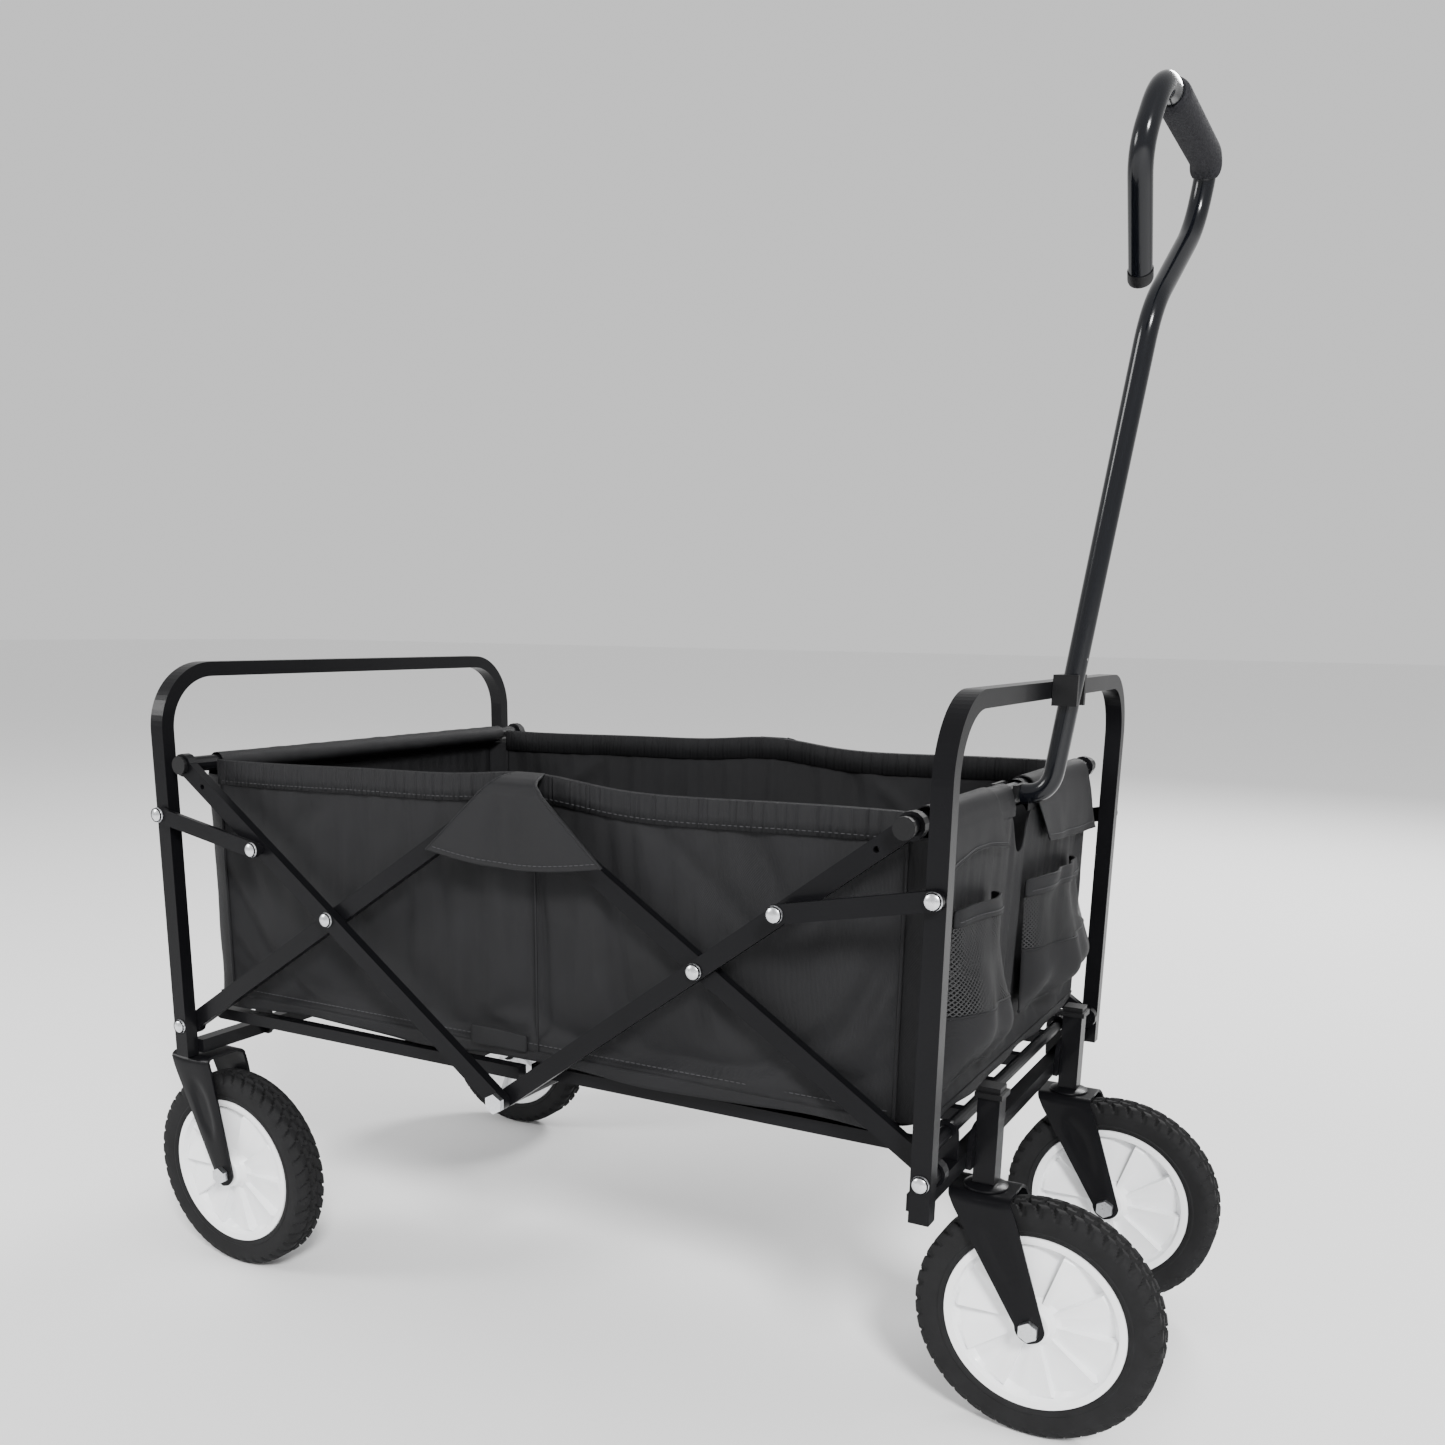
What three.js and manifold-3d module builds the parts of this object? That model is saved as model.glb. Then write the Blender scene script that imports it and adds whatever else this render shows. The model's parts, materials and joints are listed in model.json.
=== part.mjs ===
// A folding utility wagon: two end frames on wheels, joined on each side by four crossed arms,
// with a fabric tub between them, a hinged floor and an upright pull handle at the front.
import * as THREE from "three";
import { mergeVertices } from "three/addons/utils/BufferGeometryUtils.js";
import Module from "manifold-3d";

const wasm = await Module();
wasm.setup();

// ---- Driving dimensions, in millimetres and degrees.
// While the wagon is drawn, x runs forward from its middle, y to its left and z up from the ground.
// A height is above the feet of the legs, a setback is inward from the middle of the nearer end
// frame and a setout is outward from it.
const fit_gap = 0.3; // between pieces that touch but are separate
const pin_clearance = 0.3; // on the radius of a pin in its hole
const layer_gap = 0.8; // washer space between neighbouring arms

const frame_reach = 340; // middle of the wagon to the middle of an end frame
const frame_outer_y = 237.5; // outer face of a leg
const leg_width = 14; // leg tube along x
const leg_depth = 12; // leg tube along y, and the top bar's height
const top_bar_height = 333; // to the middle of the top bar
const frame_bend_radius = 50; // middle line of the frame's two upper corners
const foot_over_wheel = 17; // feet of the legs above the tops of the wheels

const leg_pin_height = 27.5; // pivot of a leg arm on its leg
const low_pin_height = 19; // pivot at the bottom middle of each side
const rail_setback = 23; // top cross tubes
const rail_height = 256;
const rail_radius = 6.5;
const rail_end_proud = 0.2; // past the outermost arm
const rail_cap_radius = 7.5;
const rail_cap_length = 3.5;
const cross_x = 165; // pivot in the middle of a crossed pair
const arm_width = 14;
const arm_thickness = 8;
const arm_eye_radius = 9.5;
const spare_hole_radius = 2.2;
const spare_hole_x = 22; // inward from the top cross tube

const pin_radius = 3.5;
const rivet_head_radius = 6;
const rivet_head_height = 2;
const top_pin_radius = 3;
const top_pin_play = 3.5; // the pivot under the side flaps is left loose on its pin
const top_pin_head_radius = 8;
const middle_bolt_radius = 4;
const middle_bolt_head_radius = 8;
const middle_bolt_head_height = 4.5;
const leg_spacer_radius = 7;

const stay_pin_height = 214;
const stay_arm_setback = 106.3; // where a stay's other end crosses its rail arm
const stay_width = 13;
const stay_thickness = 4;
const stay_washer = 1.1;

const lower_bar_setback = 7; // square cross tubes between the feet
const lower_bar_height = 8;
const lower_bar_size = 12;
const middle_tube_radius = 6.5;
const bolt_engagement = 10; // of a middle bolt in the tube that it ends in

const floor_hinge_setback = 12; // round end rail that each floor half turns on
const floor_hinge_height = 33;
const floor_hinge_radius = 5;
const floor_lug_inset = 53; // lugs that hold the end rail, from the rear half's side bars
const floor_lug_thickness = 4;
const floor_lug_radius = 9;
const floor_bar_size = 10;
const floor_tip_gap = 1.5; // from the inner tips to the middle of the wagon
const floor_to_tub = 1; // rear half's side bars inward from the face of the tub
const floor_side_width = 10;
const floor_layer_gap = 3; // between the rear half's side bars and the front half's
const floor_inner_rail_gap = 64.5; // from the inner tips
const floor_slat_count = 4; // bars along x between the two side bars
const floor_board_start = 16; // from the hinge
const floor_board_overhang = 6; // past the middle of the inner rail
const floor_board_thickness = 3;
const floor_board_inset = 27; // from the face of the tub's side

const tub_clearance = 4.2; // from the innermost arms to the fabric sides
const tub_wall = 3;
const tub_side_setback = 32; // ends of the sides
const tub_bottom_height = 52;
const tub_side_top_height = 268;
const tub_end_setback = 11; // outer face of the fabric ends
const tub_end_top_height = 241;
const tub_end_inset = 8; // from the face of the tub's side
const tub_notch_half_width = 26; // gap in the front end's top edge, around the foot of the handle
const tub_notch_depth = 44;

const wheel_radius = 89;
const tyre_width = 31;
const tyre_height = 23; // from the rim to the tread
const hub_radius = 13;
const hub_width = 37;
const axle_radius = 4;
const axle_head_radius = 7.5;
const axle_head_height = 5;
const fork_gap = 40; // between the two cheeks of a fork
const fork_plate = 2.5;
const fork_top_width = 44;
const fork_tip_radius = 11;
const rear_axle_setback = 33.5;
const rear_wheel_inset = 27.5; // from the outer face of a leg
const caster_y = 120;
const caster_stem_setout = 10;
const caster_trail = 44; // from the stem forward to the axle
const caster_fork_gap = 3; // from the wheel to the top of the fork's plate
const caster_bearing_radius = 15;
const caster_bearing_height = 4;
const kingpin_radius = 4.5;
const kingpin_length = 22;
const stem_size = 16;
const stem_top_height = 54;
const stem_cap_height = 8;
const stem_cap_overhang = 2;
const stem_plate_half_width = 17;
const stem_plate_thickness = 2.7;
const stem_plate_top_height = 33;

const handle_y = -13;
const handle_lean = 7.6; // forward of upright
const handle_radius = 7.5;
const handle_setout = 18; // middle of the shaft as it passes the front top bar
const handle_base_bend = 24;
const handle_shaft_end = 270; // heights along the shaft, from a point below the top bar
const handle_zero_drop = 15; // of that point below the middle of the top bar
const handle_top = 377;
const handle_side_knee = 335;
const handle_tip = 278;
const grip_outer_radius = 10.3;
const grip_near_y = -78;
const grip_far_y = 40;
const saddle_radius = 10;
const saddle_half_width = 14;
const saddle_lip = 7; // height of the saddle's sides above the cross tube's middle
const clip_half_width = 13;
const clip_height = 22;
const clip_depth = 18;
const clip_jaw_clearance = 0.6;

// ---- Values that follow from the driving dimensions.
const degree = Math.PI / 180;
const wheel_top_z = 2 * wheel_radius;
const leg_foot_z = wheel_top_z + foot_over_wheel;
const leg_pin_z = leg_foot_z + leg_pin_height;
const low_pin_z = leg_foot_z + low_pin_height;
const rail_z = leg_foot_z + rail_height;
const top_bar_z = leg_foot_z + top_bar_height;
const stay_pin_z = leg_foot_z + stay_pin_height;
const lower_bar_z = leg_foot_z + lower_bar_height;
const floor_hinge_z = leg_foot_z + floor_hinge_height;
const tub_bottom_z = leg_foot_z + tub_bottom_height;
const tub_side_top_z = leg_foot_z + tub_side_top_height;
const tub_end_top_z = leg_foot_z + tub_end_top_height;
const stem_top_z = leg_foot_z + stem_top_height;
const stem_plate_top_z = leg_foot_z + stem_plate_top_height;
const handle_zero_z = top_bar_z - handle_zero_drop;
const caster_fork_top_z = wheel_top_z + caster_fork_gap;
const rail_x = frame_reach - rail_setback;
const stay_arm_x = frame_reach - stay_arm_setback;
const lower_bar_x = frame_reach - lower_bar_setback;
const floor_hinge_x = frame_reach - floor_hinge_setback;
const floor_length = floor_hinge_x - floor_tip_gap;
const floor_inner_rail = floor_length - floor_inner_rail_gap;
const floor_board_end = floor_inner_rail + floor_board_overhang;
const tub_half_length = frame_reach - tub_side_setback;
const tub_end_x = frame_reach - tub_end_setback;
const rear_axle_x = rear_axle_setback - frame_reach;
const caster_stem_x = frame_reach + caster_stem_setout;
const caster_axle_x = caster_stem_x + caster_trail;
const handle_bar_x = frame_reach + handle_setout;
const rear_wheel_y = frame_outer_y - rear_wheel_inset;
const rim_radius = wheel_radius - tyre_height;
const leg_mid_y = frame_outer_y - leg_depth / 2;
const leg_inner_y = frame_outer_y - leg_depth;
// Arms lie in three layers, counted from the outside: the rear rail arms, then the rear leg arms
// beside the front rail arms, then the front leg arms.
const second_layer = leg_inner_y - 0.5 - arm_thickness;
const first_layer = second_layer + arm_thickness + layer_gap;
const third_layer = second_layer - arm_thickness - layer_gap;
const rail_half_length = first_layer + arm_thickness + rail_end_proud;
const tub_side_y = third_layer - tub_clearance;
const tub_end_half_width = tub_side_y - tub_end_inset;
const rear_floor_outer_y = tub_side_y - floor_to_tub;
const floor_lug_y = rear_floor_outer_y - floor_lug_inset;
const floor_board_half_width = rear_floor_outer_y - floor_board_inset;
const rail_arm_slope = (rail_z - low_pin_z) / rail_x;
const cross_z = low_pin_z + cross_x * rail_arm_slope;
const leg_arm_slope = (cross_z - leg_pin_z) / (frame_reach - cross_x);
const top_pin_z = leg_pin_z + frame_reach * leg_arm_slope;
const spare_x = rail_x - spare_hole_x;
const spare_z = low_pin_z + spare_x * rail_arm_slope;
const stay_arm_z = low_pin_z + stay_arm_x * rail_arm_slope;
const middle_tube_half = second_layer - layer_gap;
const stay_inner_y = frame_outer_y + stay_washer + fit_gap;
const stay_outer_y = stay_inner_y + stay_thickness;
const front_floor_outer_y = rear_floor_outer_y - floor_side_width - floor_layer_gap;
const fork_half = fork_gap / 2 + fork_plate;
const stem_back_x = caster_stem_x - stem_size / 2;
// The wagon is finally moved so that its origin is below the middle of its own box.
const box_middle_x = (caster_axle_x + wheel_radius + (rear_axle_x - wheel_radius)) / 2;

// ---- Materials.
function finish(color, roughness, metalness) {
  return new THREE.MeshStandardMaterial({ color, roughness, metalness });
}
const black_steel = finish(0x17181a, 0.35, 0.6);
const zinc = finish(0xc9ccd0, 0.3, 1);
const black_plastic = finish(0x1b1b1d, 0.55, 0);
const white_plastic = finish(0xe9eaec, 0.4, 0);
const rubber = finish(0x1a1a1b, 0.85, 0);
const foam = finish(0x4a4b50, 0.95, 0);
const fabric = finish(0x1f2022, 0.9, 0);
const board = finish(0x26272a, 0.8, 0);

// ---- Solids.
function solidOf(geometry) {
  const bare = geometry.index ? geometry.toNonIndexed() : geometry.clone();
  bare.deleteAttribute("normal");
  bare.deleteAttribute("uv");
  const merged = mergeVertices(bare, 1e-4);
  return new wasm.Manifold(
    new wasm.Mesh({
      numProp: 3,
      vertProperties: merged.attributes.position.array,
      triVerts: new Uint32Array(merged.index.array),
    }),
  );
}

function geometryOf(solid) {
  const mesh = solid.getMesh();
  const geometry = new THREE.BufferGeometry();
  geometry.setAttribute("position", new THREE.BufferAttribute(mesh.vertProperties, 3));
  geometry.setIndex(new THREE.BufferAttribute(mesh.triVerts, 1));
  return geometry;
}

// The first shapes joined into one body, with the second list cut away.
function build(joined, cuts = []) {
  let solid = solidOf(joined[0]);
  for (const extra of joined.slice(1)) solid = solid.add(solidOf(extra));
  for (const cut of cuts) solid = solid.subtract(solidOf(cut));
  return geometryOf(solid);
}

function block(x, y, z) {
  const geometry = new THREE.BoxGeometry(x[1] - x[0], y[1] - y[0], z[1] - z[0]);
  return geometry.translate((x[0] + x[1]) / 2, (y[0] + y[1]) / 2, (z[0] + z[1]) / 2);
}

// A round bar along y, or a hexagonal one with six sides.
function rodAlongY(x, z, y, radius, sides = 14) {
  const low = Math.min(y[0], y[1]);
  const high = Math.max(y[0], y[1]);
  const geometry = new THREE.CylinderGeometry(radius, radius, high - low, sides);
  return geometry.translate(x, (low + high) / 2, z);
}

function rodAlongZ(x, y, z, radius, sides = 14) {
  const geometry = new THREE.CylinderGeometry(radius, radius, z[1] - z[0], sides);
  return geometry.rotateX(Math.PI / 2).translate(x, y, (z[0] + z[1]) / 2);
}

// A flat plate: its outline is drawn in x and z, and it is as thick as the span of y.
function plateAlongY(outline, y) {
  const low = Math.min(y[0], y[1]);
  const high = Math.max(y[0], y[1]);
  const geometry = new THREE.ExtrudeGeometry(outline, {
    depth: high - low,
    bevelEnabled: false,
    curveSegments: 8,
  });
  return geometry.rotateX(Math.PI / 2).translate(0, high, 0);
}

// A plate whose outline is drawn in y and z, as thick as the span of x.
function plateAlongX(outline, x) {
  const geometry = new THREE.ExtrudeGeometry(outline, {
    depth: x[1] - x[0],
    bevelEnabled: false,
    curveSegments: 10,
  });
  const turn = new THREE.Matrix4().makeBasis(
    new THREE.Vector3(0, 1, 0),
    new THREE.Vector3(0, 0, 1),
    new THREE.Vector3(1, 0, 0),
  );
  return geometry.applyMatrix4(turn).translate(x[0], 0, 0);
}

// The outline of a bar with two round ends, from one point to another in x and z.
function linkOutline(from, to, radius) {
  const angle = Math.atan2(to[1] - from[1], to[0] - from[0]);
  const outline = new THREE.Shape();
  outline.absarc(to[0], to[1], radius, angle - Math.PI / 2, angle + Math.PI / 2, false);
  outline.absarc(from[0], from[1], radius, angle + Math.PI / 2, angle + 1.5 * Math.PI, false);
  outline.closePath();
  return outline;
}

// A round tube swept along straight runs with bent corners. A corner is [point, bend length].
function bentTube(start, corners, end, radius, steps) {
  const path = new THREE.CurvePath();
  let from = start;
  corners.forEach(([corner, bend], i) => {
    const next = i + 1 < corners.length ? corners[i + 1][0] : end;
    const into = corner.clone().addScaledVector(corner.clone().sub(from).normalize(), -bend);
    const out = corner.clone().addScaledVector(next.clone().sub(corner).normalize(), bend);
    path.add(new THREE.LineCurve3(from, into));
    path.add(new THREE.QuadraticBezierCurve3(into, corner, out));
    from = out;
  });
  path.add(new THREE.LineCurve3(from, end));
  const section = new THREE.Shape();
  section.absarc(0, 0, radius, 0, 2 * Math.PI, false);
  return new THREE.ExtrudeGeometry(section, { extrudePath: path, steps, curveSegments: 7 });
}

// ---- The wagon, and how a piece joins it.
const wagon = new THREE.Group();

function add(name, geometry, material) {
  const mesh = new THREE.Mesh(geometry, material);
  mesh.name = name;
  wagon.add(mesh);
  return mesh;
}

const sides = [
  ["left", 1],
  ["right", -1],
];
const ends = [
  ["rear", -1],
  ["front", 1],
];

// ---- End frames: one tube bent into a tall arch, with the pins that its arms and stays turn on.
function archOutline() {
  const outer = leg_mid_y + leg_depth / 2;
  const inner = leg_mid_y - leg_depth / 2;
  const over = top_bar_z + leg_depth / 2;
  const under = top_bar_z - leg_depth / 2;
  const wide = frame_bend_radius + leg_depth / 2;
  const tight = frame_bend_radius - leg_depth / 2;
  const outline = new THREE.Shape();
  outline.moveTo(-outer, leg_foot_z);
  outline.lineTo(-inner, leg_foot_z);
  outline.absarc(-inner + tight, under - tight, tight, Math.PI, Math.PI / 2, true);
  outline.absarc(inner - tight, under - tight, tight, Math.PI / 2, 0, true);
  outline.lineTo(inner, leg_foot_z);
  outline.lineTo(outer, leg_foot_z);
  outline.absarc(outer - wide, over - wide, wide, 0, Math.PI / 2, false);
  outline.absarc(-outer + wide, over - wide, wide, Math.PI / 2, Math.PI, false);
  outline.closePath();
  return outline;
}

function rivetHead(x, z, y, side, radius = rivet_head_radius) {
  return rodAlongY(x, z, [side * y, side * (y + rivet_head_height)], radius);
}

function endFrame(end) {
  const x = end * frame_reach;
  const arm_inner = end > 0 ? third_layer : second_layer;
  const arm_outer = arm_inner + arm_thickness;
  const pieces = [plateAlongX(archOutline(), [x - leg_width / 2, x + leg_width / 2])];
  for (const [, side] of sides) {
    const tail = arm_inner - fit_gap - rivet_head_height;
    const washer_y = frame_outer_y + stay_washer;
    const stay_head = stay_outer_y + fit_gap;
    pieces.push(
      rodAlongY(x, leg_pin_z, [side * tail, side * frame_outer_y], pin_radius),
      rivetHead(x, leg_pin_z, tail, side),
      rivetHead(x, leg_pin_z, frame_outer_y, side),
      rodAlongY(x, stay_pin_z, [side * leg_mid_y, side * washer_y], leg_spacer_radius),
      rodAlongY(x, stay_pin_z, [side * leg_mid_y, side * (stay_head + 1)], pin_radius),
      rivetHead(x, stay_pin_z, stay_head, side),
    );
    if (leg_inner_y - arm_outer > 1) {
      const spacer = [side * (arm_outer + fit_gap), side * (leg_inner_y + 1)];
      pieces.push(rodAlongY(x, leg_pin_z, spacer, leg_spacer_radius));
    }
  }
  return build(pieces);
}

for (const [name, end] of ends) add(name + "_frame", endFrame(end), black_steel);

// ---- Lower cross tubes, each with two lugs that the floor's end rail turns in.
function lowerBar(end) {
  const x = end * lower_bar_x;
  const half = lower_bar_size / 2;
  const reach = leg_inner_y - fit_gap;
  const bar = block([x - half, x + half], [-reach, reach], [lower_bar_z - half, lower_bar_z + half]);
  const foot = [end * (floor_hinge_x + 1), lower_bar_z];
  const top = [end * floor_hinge_x, floor_hinge_z];
  const pieces = [bar];
  const cuts = [];
  for (const [, side] of sides) {
    const span = [side * floor_lug_y, side * (floor_lug_y + floor_lug_thickness)];
    const bore = [side * (floor_lug_y - 1), side * (floor_lug_y + floor_lug_thickness + 1)];
    pieces.push(plateAlongY(linkOutline(foot, top, floor_lug_radius), span));
    cuts.push(rodAlongY(top[0], top[1], bore, floor_hinge_radius + pin_clearance));
    cuts.push(block([foot[0] - 20, foot[0] + 20], bore.sort((p, q) => p - q), [0, lower_bar_z - half]));
  }
  return build(pieces, cuts);
}

for (const [name, end] of ends) add(name + "_lower_crossbar", lowerBar(end), black_steel);

// ---- Crossed arms. A leg arm runs from the foot of a leg to the top middle of the side.
// A rail arm runs from the bottom middle to the top cross tube, which it carries.
function legArm(end, side) {
  const layer = end > 0 ? third_layer : second_layer;
  const outer = layer + arm_thickness;
  const span = [side * layer, side * outer];
  const foot = [end * frame_reach, leg_pin_z];
  const top = [0, top_pin_z];
  const through = [side * (layer - 1), side * (outer + 1)];
  const next_outer = outer + layer_gap + arm_thickness;
  const cross = [end * cross_x, cross_z];
  const bar = plateAlongY(linkOutline(foot, top, arm_width / 2), span);
  const foot_eye = rodAlongY(foot[0], foot[1], span, arm_eye_radius);
  const top_eye = rodAlongY(top[0], top[1], span, arm_eye_radius);
  const cross_pin = rodAlongY(
    cross[0],
    cross[1],
    [side * layer, side * (next_outer + fit_gap + rivet_head_height)],
    pin_radius,
  );
  const cross_head = rivetHead(cross[0], cross[1], next_outer + fit_gap, side);
  const pieces = [bar, foot_eye, top_eye, cross_pin, cross_head];
  const cuts = [rodAlongY(foot[0], foot[1], through, pin_radius + pin_clearance)];
  if (end > 0) {
    const pin_end = side * (next_outer + fit_gap + rivet_head_height);
    pieces.push(rodAlongY(0, top_pin_z, [side * layer, pin_end], top_pin_radius));
    pieces.push(rivetHead(0, top_pin_z, next_outer + fit_gap, side, top_pin_head_radius));
  } else {
    cuts.push(rodAlongY(0, top_pin_z, through, top_pin_radius + top_pin_play));
  }
  return build(pieces, cuts);
}

function railArm(end, side) {
  const layer = end > 0 ? second_layer : first_layer;
  const span = [side * layer, side * (layer + arm_thickness)];
  const through = [side * (layer - 1), side * (layer + arm_thickness + 1)];
  const foot = [0, low_pin_z];
  const top = [end * rail_x, rail_z];
  const bar = plateAlongY(linkOutline(foot, top, arm_width / 2), span);
  const rail_eye = rodAlongY(top[0], top[1], span, arm_eye_radius);
  const cuts = [
    rodAlongY(0, low_pin_z, through, middle_bolt_radius + pin_clearance),
    rodAlongY(end * cross_x, cross_z, through, pin_radius + pin_clearance),
    rodAlongY(top[0], top[1], through, rail_radius + fit_gap),
    rodAlongY(end * spare_x, spare_z, through, spare_hole_radius),
  ];
  return build([bar, rail_eye], cuts);
}

for (const [end_name, end] of ends)
  for (const [side_name, side] of sides) {
    add(`${end_name}_${side_name}_leg_arm`, legArm(end, side), black_steel);
    add(`${end_name}_${side_name}_rail_arm`, railArm(end, side), black_steel);
  }

// ---- Bolts through the bottom middle pivots, and the tube that joins the two sides there.
function middleBolt(side) {
  const head = first_layer + arm_thickness + fit_gap;
  const inner = middle_tube_half - bolt_engagement;
  return build([
    rodAlongY(0, low_pin_z, [side * inner, side * (head + 1)], middle_bolt_radius),
    rodAlongY(
      0,
      low_pin_z,
      [side * head, side * (head + middle_bolt_head_height)],
      middle_bolt_head_radius,
      6,
    ),
  ]);
}

function middleTube() {
  const span = [-middle_tube_half, middle_tube_half];
  const bores = sides.map(([, side]) => {
    const bore = [side * (middle_tube_half - bolt_engagement - 1), side * (middle_tube_half + 1)];
    return rodAlongY(0, low_pin_z, bore, middle_bolt_radius + pin_clearance);
  });
  return build([rodAlongY(0, low_pin_z, span, middle_tube_radius)], bores);
}

for (const [side_name, side] of sides) add(side_name + "_middle_bolt", middleBolt(side), zinc);
add("middle_tube", middleTube(), black_steel);

// ---- Top cross tubes, which the tub hangs from, and their end caps.
function railCap(end, side) {
  const inner = rail_half_length + fit_gap;
  const span = [side * inner, side * (inner + rail_cap_length)];
  return rodAlongY(end * rail_x, rail_z, span, rail_cap_radius);
}

for (const [end_name, end] of ends) {
  const span = [-rail_half_length, rail_half_length];
  add(end_name + "_top_tube", rodAlongY(end * rail_x, rail_z, span, rail_radius), black_steel);
  for (const [side_name, side] of sides)
    add(`${end_name}_${side_name}_tube_cap`, railCap(end, side), black_plastic);
}

// ---- Stays: flat links from each leg to its rail arm. The far rivet rides on the stay.
function stay(end, side) {
  const leg = [end * frame_reach, stay_pin_z];
  const arm = [end * stay_arm_x, stay_arm_z];
  const layer = end > 0 ? second_layer : first_layer;
  const stub_end = layer + arm_thickness + 0.5;
  const strap = plateAlongY(linkOutline(leg, arm, stay_width / 2), [
    side * stay_inner_y,
    side * stay_outer_y,
  ]);
  const stub = rodAlongY(
    arm[0],
    arm[1],
    [side * stub_end, side * stay_outer_y],
    rivet_head_radius - 1,
  );
  const hole = rodAlongY(
    leg[0],
    leg[1],
    [side * (stay_inner_y - 1), side * (stay_outer_y + 1)],
    pin_radius + pin_clearance,
  );
  return build([strap, stub, rivetHead(arm[0], arm[1], stay_outer_y, side)], [hole]);
}

for (const [end_name, end] of ends)
  for (const [side_name, side] of sides)
    add(`${end_name}_${side_name}_stay`, stay(end, side), black_steel);

// ---- Floor: two ladder frames that turn on their end rails, with a stiff board on each.
// The rear half's side bars lie outside the front half's, so the halves can cross as they rise.
function floorBlock(end, from, to, y, z) {
  const near = end * (floor_hinge_x - from);
  const far = end * (floor_hinge_x - to);
  return block([Math.min(near, far), Math.max(near, far)], y, z);
}

function floorFrame(end) {
  const outer = end > 0 ? front_floor_outer_y : rear_floor_outer_y;
  const inner = outer - floor_side_width;
  const half = floor_bar_size / 2;
  const z = [floor_hinge_z - half, floor_hinge_z + half];
  const rail_from = floor_inner_rail - half;
  const rail_to = floor_inner_rail + half;
  const pieces = [
    rodAlongY(end * floor_hinge_x, floor_hinge_z, [-outer, outer], floor_hinge_radius),
    floorBlock(end, rail_from, rail_to, [-inner - 1, inner + 1], z),
    floorBlock(end, 0, floor_length, [inner, outer], z),
    floorBlock(end, 0, floor_length, [-outer, -inner], z),
  ];
  const spacing = (2 * inner + floor_bar_size) / (floor_slat_count + 1);
  for (let i = 0; i < floor_slat_count; i++) {
    const y = (i - (floor_slat_count - 1) / 2) * spacing;
    pieces.push(floorBlock(end, 0, rail_to, [y - half, y + half], z));
  }
  return build(pieces);
}

function floorBoard(end) {
  const bottom = floor_hinge_z + floor_bar_size / 2 + fit_gap;
  const y = [-floor_board_half_width, floor_board_half_width];
  const z = [bottom, bottom + floor_board_thickness];
  return floorBlock(end, floor_board_start, floor_board_end, y, z);
}

for (const [end_name, end] of ends) {
  add(end_name + "_floor_frame", floorFrame(end), black_steel);
  add(end_name + "_floor_board", floorBoard(end), board);
}

// ---- Tub: plain walls of the fabric tub, open at the top.
function tubSide(side) {
  const span = [side * (tub_side_y - tub_wall), side * tub_side_y].sort((a, b) => a - b);
  return block([-tub_half_length, tub_half_length], span, [tub_bottom_z, tub_side_top_z]);
}

function tubEnd(end) {
  const span = [end * (tub_end_x - tub_wall), end * tub_end_x].sort((a, b) => a - b);
  const width = [-tub_end_half_width, tub_end_half_width];
  const wall = block(span, width, [tub_bottom_z, tub_end_top_z]);
  if (end < 0) return wall;
  const notch_y = [handle_y - tub_notch_half_width, handle_y + tub_notch_half_width];
  const notch_z = [tub_end_top_z - tub_notch_depth, tub_end_top_z + 1];
  return build([wall], [block([span[0] - 1, span[1] + 1], notch_y, notch_z)]);
}

for (const [side_name, side] of sides) add("tub_" + side_name + "_side", tubSide(side), fabric);
for (const [end_name, end] of ends) add("tub_" + end_name + "_end", tubEnd(end), fabric);

// ---- Wheels: each is drawn at the origin with its axle along y, then moved to its place.
function tyre() {
  const half = tyre_width / 2;
  const seat = rim_radius + fit_gap;
  const profile = [
    [seat, -half + 3],
    [wheel_radius - 12, -half],
    [wheel_radius - 4, -half + 2],
    [wheel_radius, -half + 6],
    [wheel_radius, half - 6],
    [wheel_radius - 4, half - 2],
    [wheel_radius - 12, half],
    [seat, half - 3],
    [seat, -half + 3],
  ].map(([r, y]) => new THREE.Vector2(r, y));
  return new THREE.LatheGeometry(profile, 32);
}

function rim() {
  const half = tyre_width / 2;
  const hub = hub_width / 2;
  const bore = axle_radius + pin_clearance;
  const profile = [
    [bore, -hub],
    [hub_radius, -hub],
    [hub_radius + 4, -half + 7],
    [rim_radius - 6, -half + 5],
    [rim_radius, -half + 2],
    [rim_radius, half - 2],
    [rim_radius - 6, half - 5],
    [hub_radius + 4, half - 7],
    [hub_radius, hub],
    [bore, hub],
    [bore, -hub],
  ].map(([r, y]) => new THREE.Vector2(r, y));
  return new THREE.LatheGeometry(profile, 32);
}

function axleBolt() {
  const half = fork_half + fit_gap;
  const reach = half + axle_head_height;
  return build([
    rodAlongY(0, 0, [-half - 1, half + 1], axle_radius),
    rodAlongY(0, 0, [half, reach], axle_head_radius, 6),
    rodAlongY(0, 0, [-reach, -half], axle_head_radius, 6),
  ]);
}

// A fork's cheek, from its top edge to the round tip at the axle, drawn about the axle.
function cheekOutline(top_x, top_z) {
  const outline = new THREE.Shape();
  outline.moveTo(top_x - fork_top_width / 2, top_z);
  outline.lineTo(-fork_tip_radius, 0);
  outline.absarc(0, 0, fork_tip_radius, Math.PI, 2 * Math.PI, false);
  outline.lineTo(top_x + fork_top_width / 2, top_z);
  outline.closePath();
  return outline;
}

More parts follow.
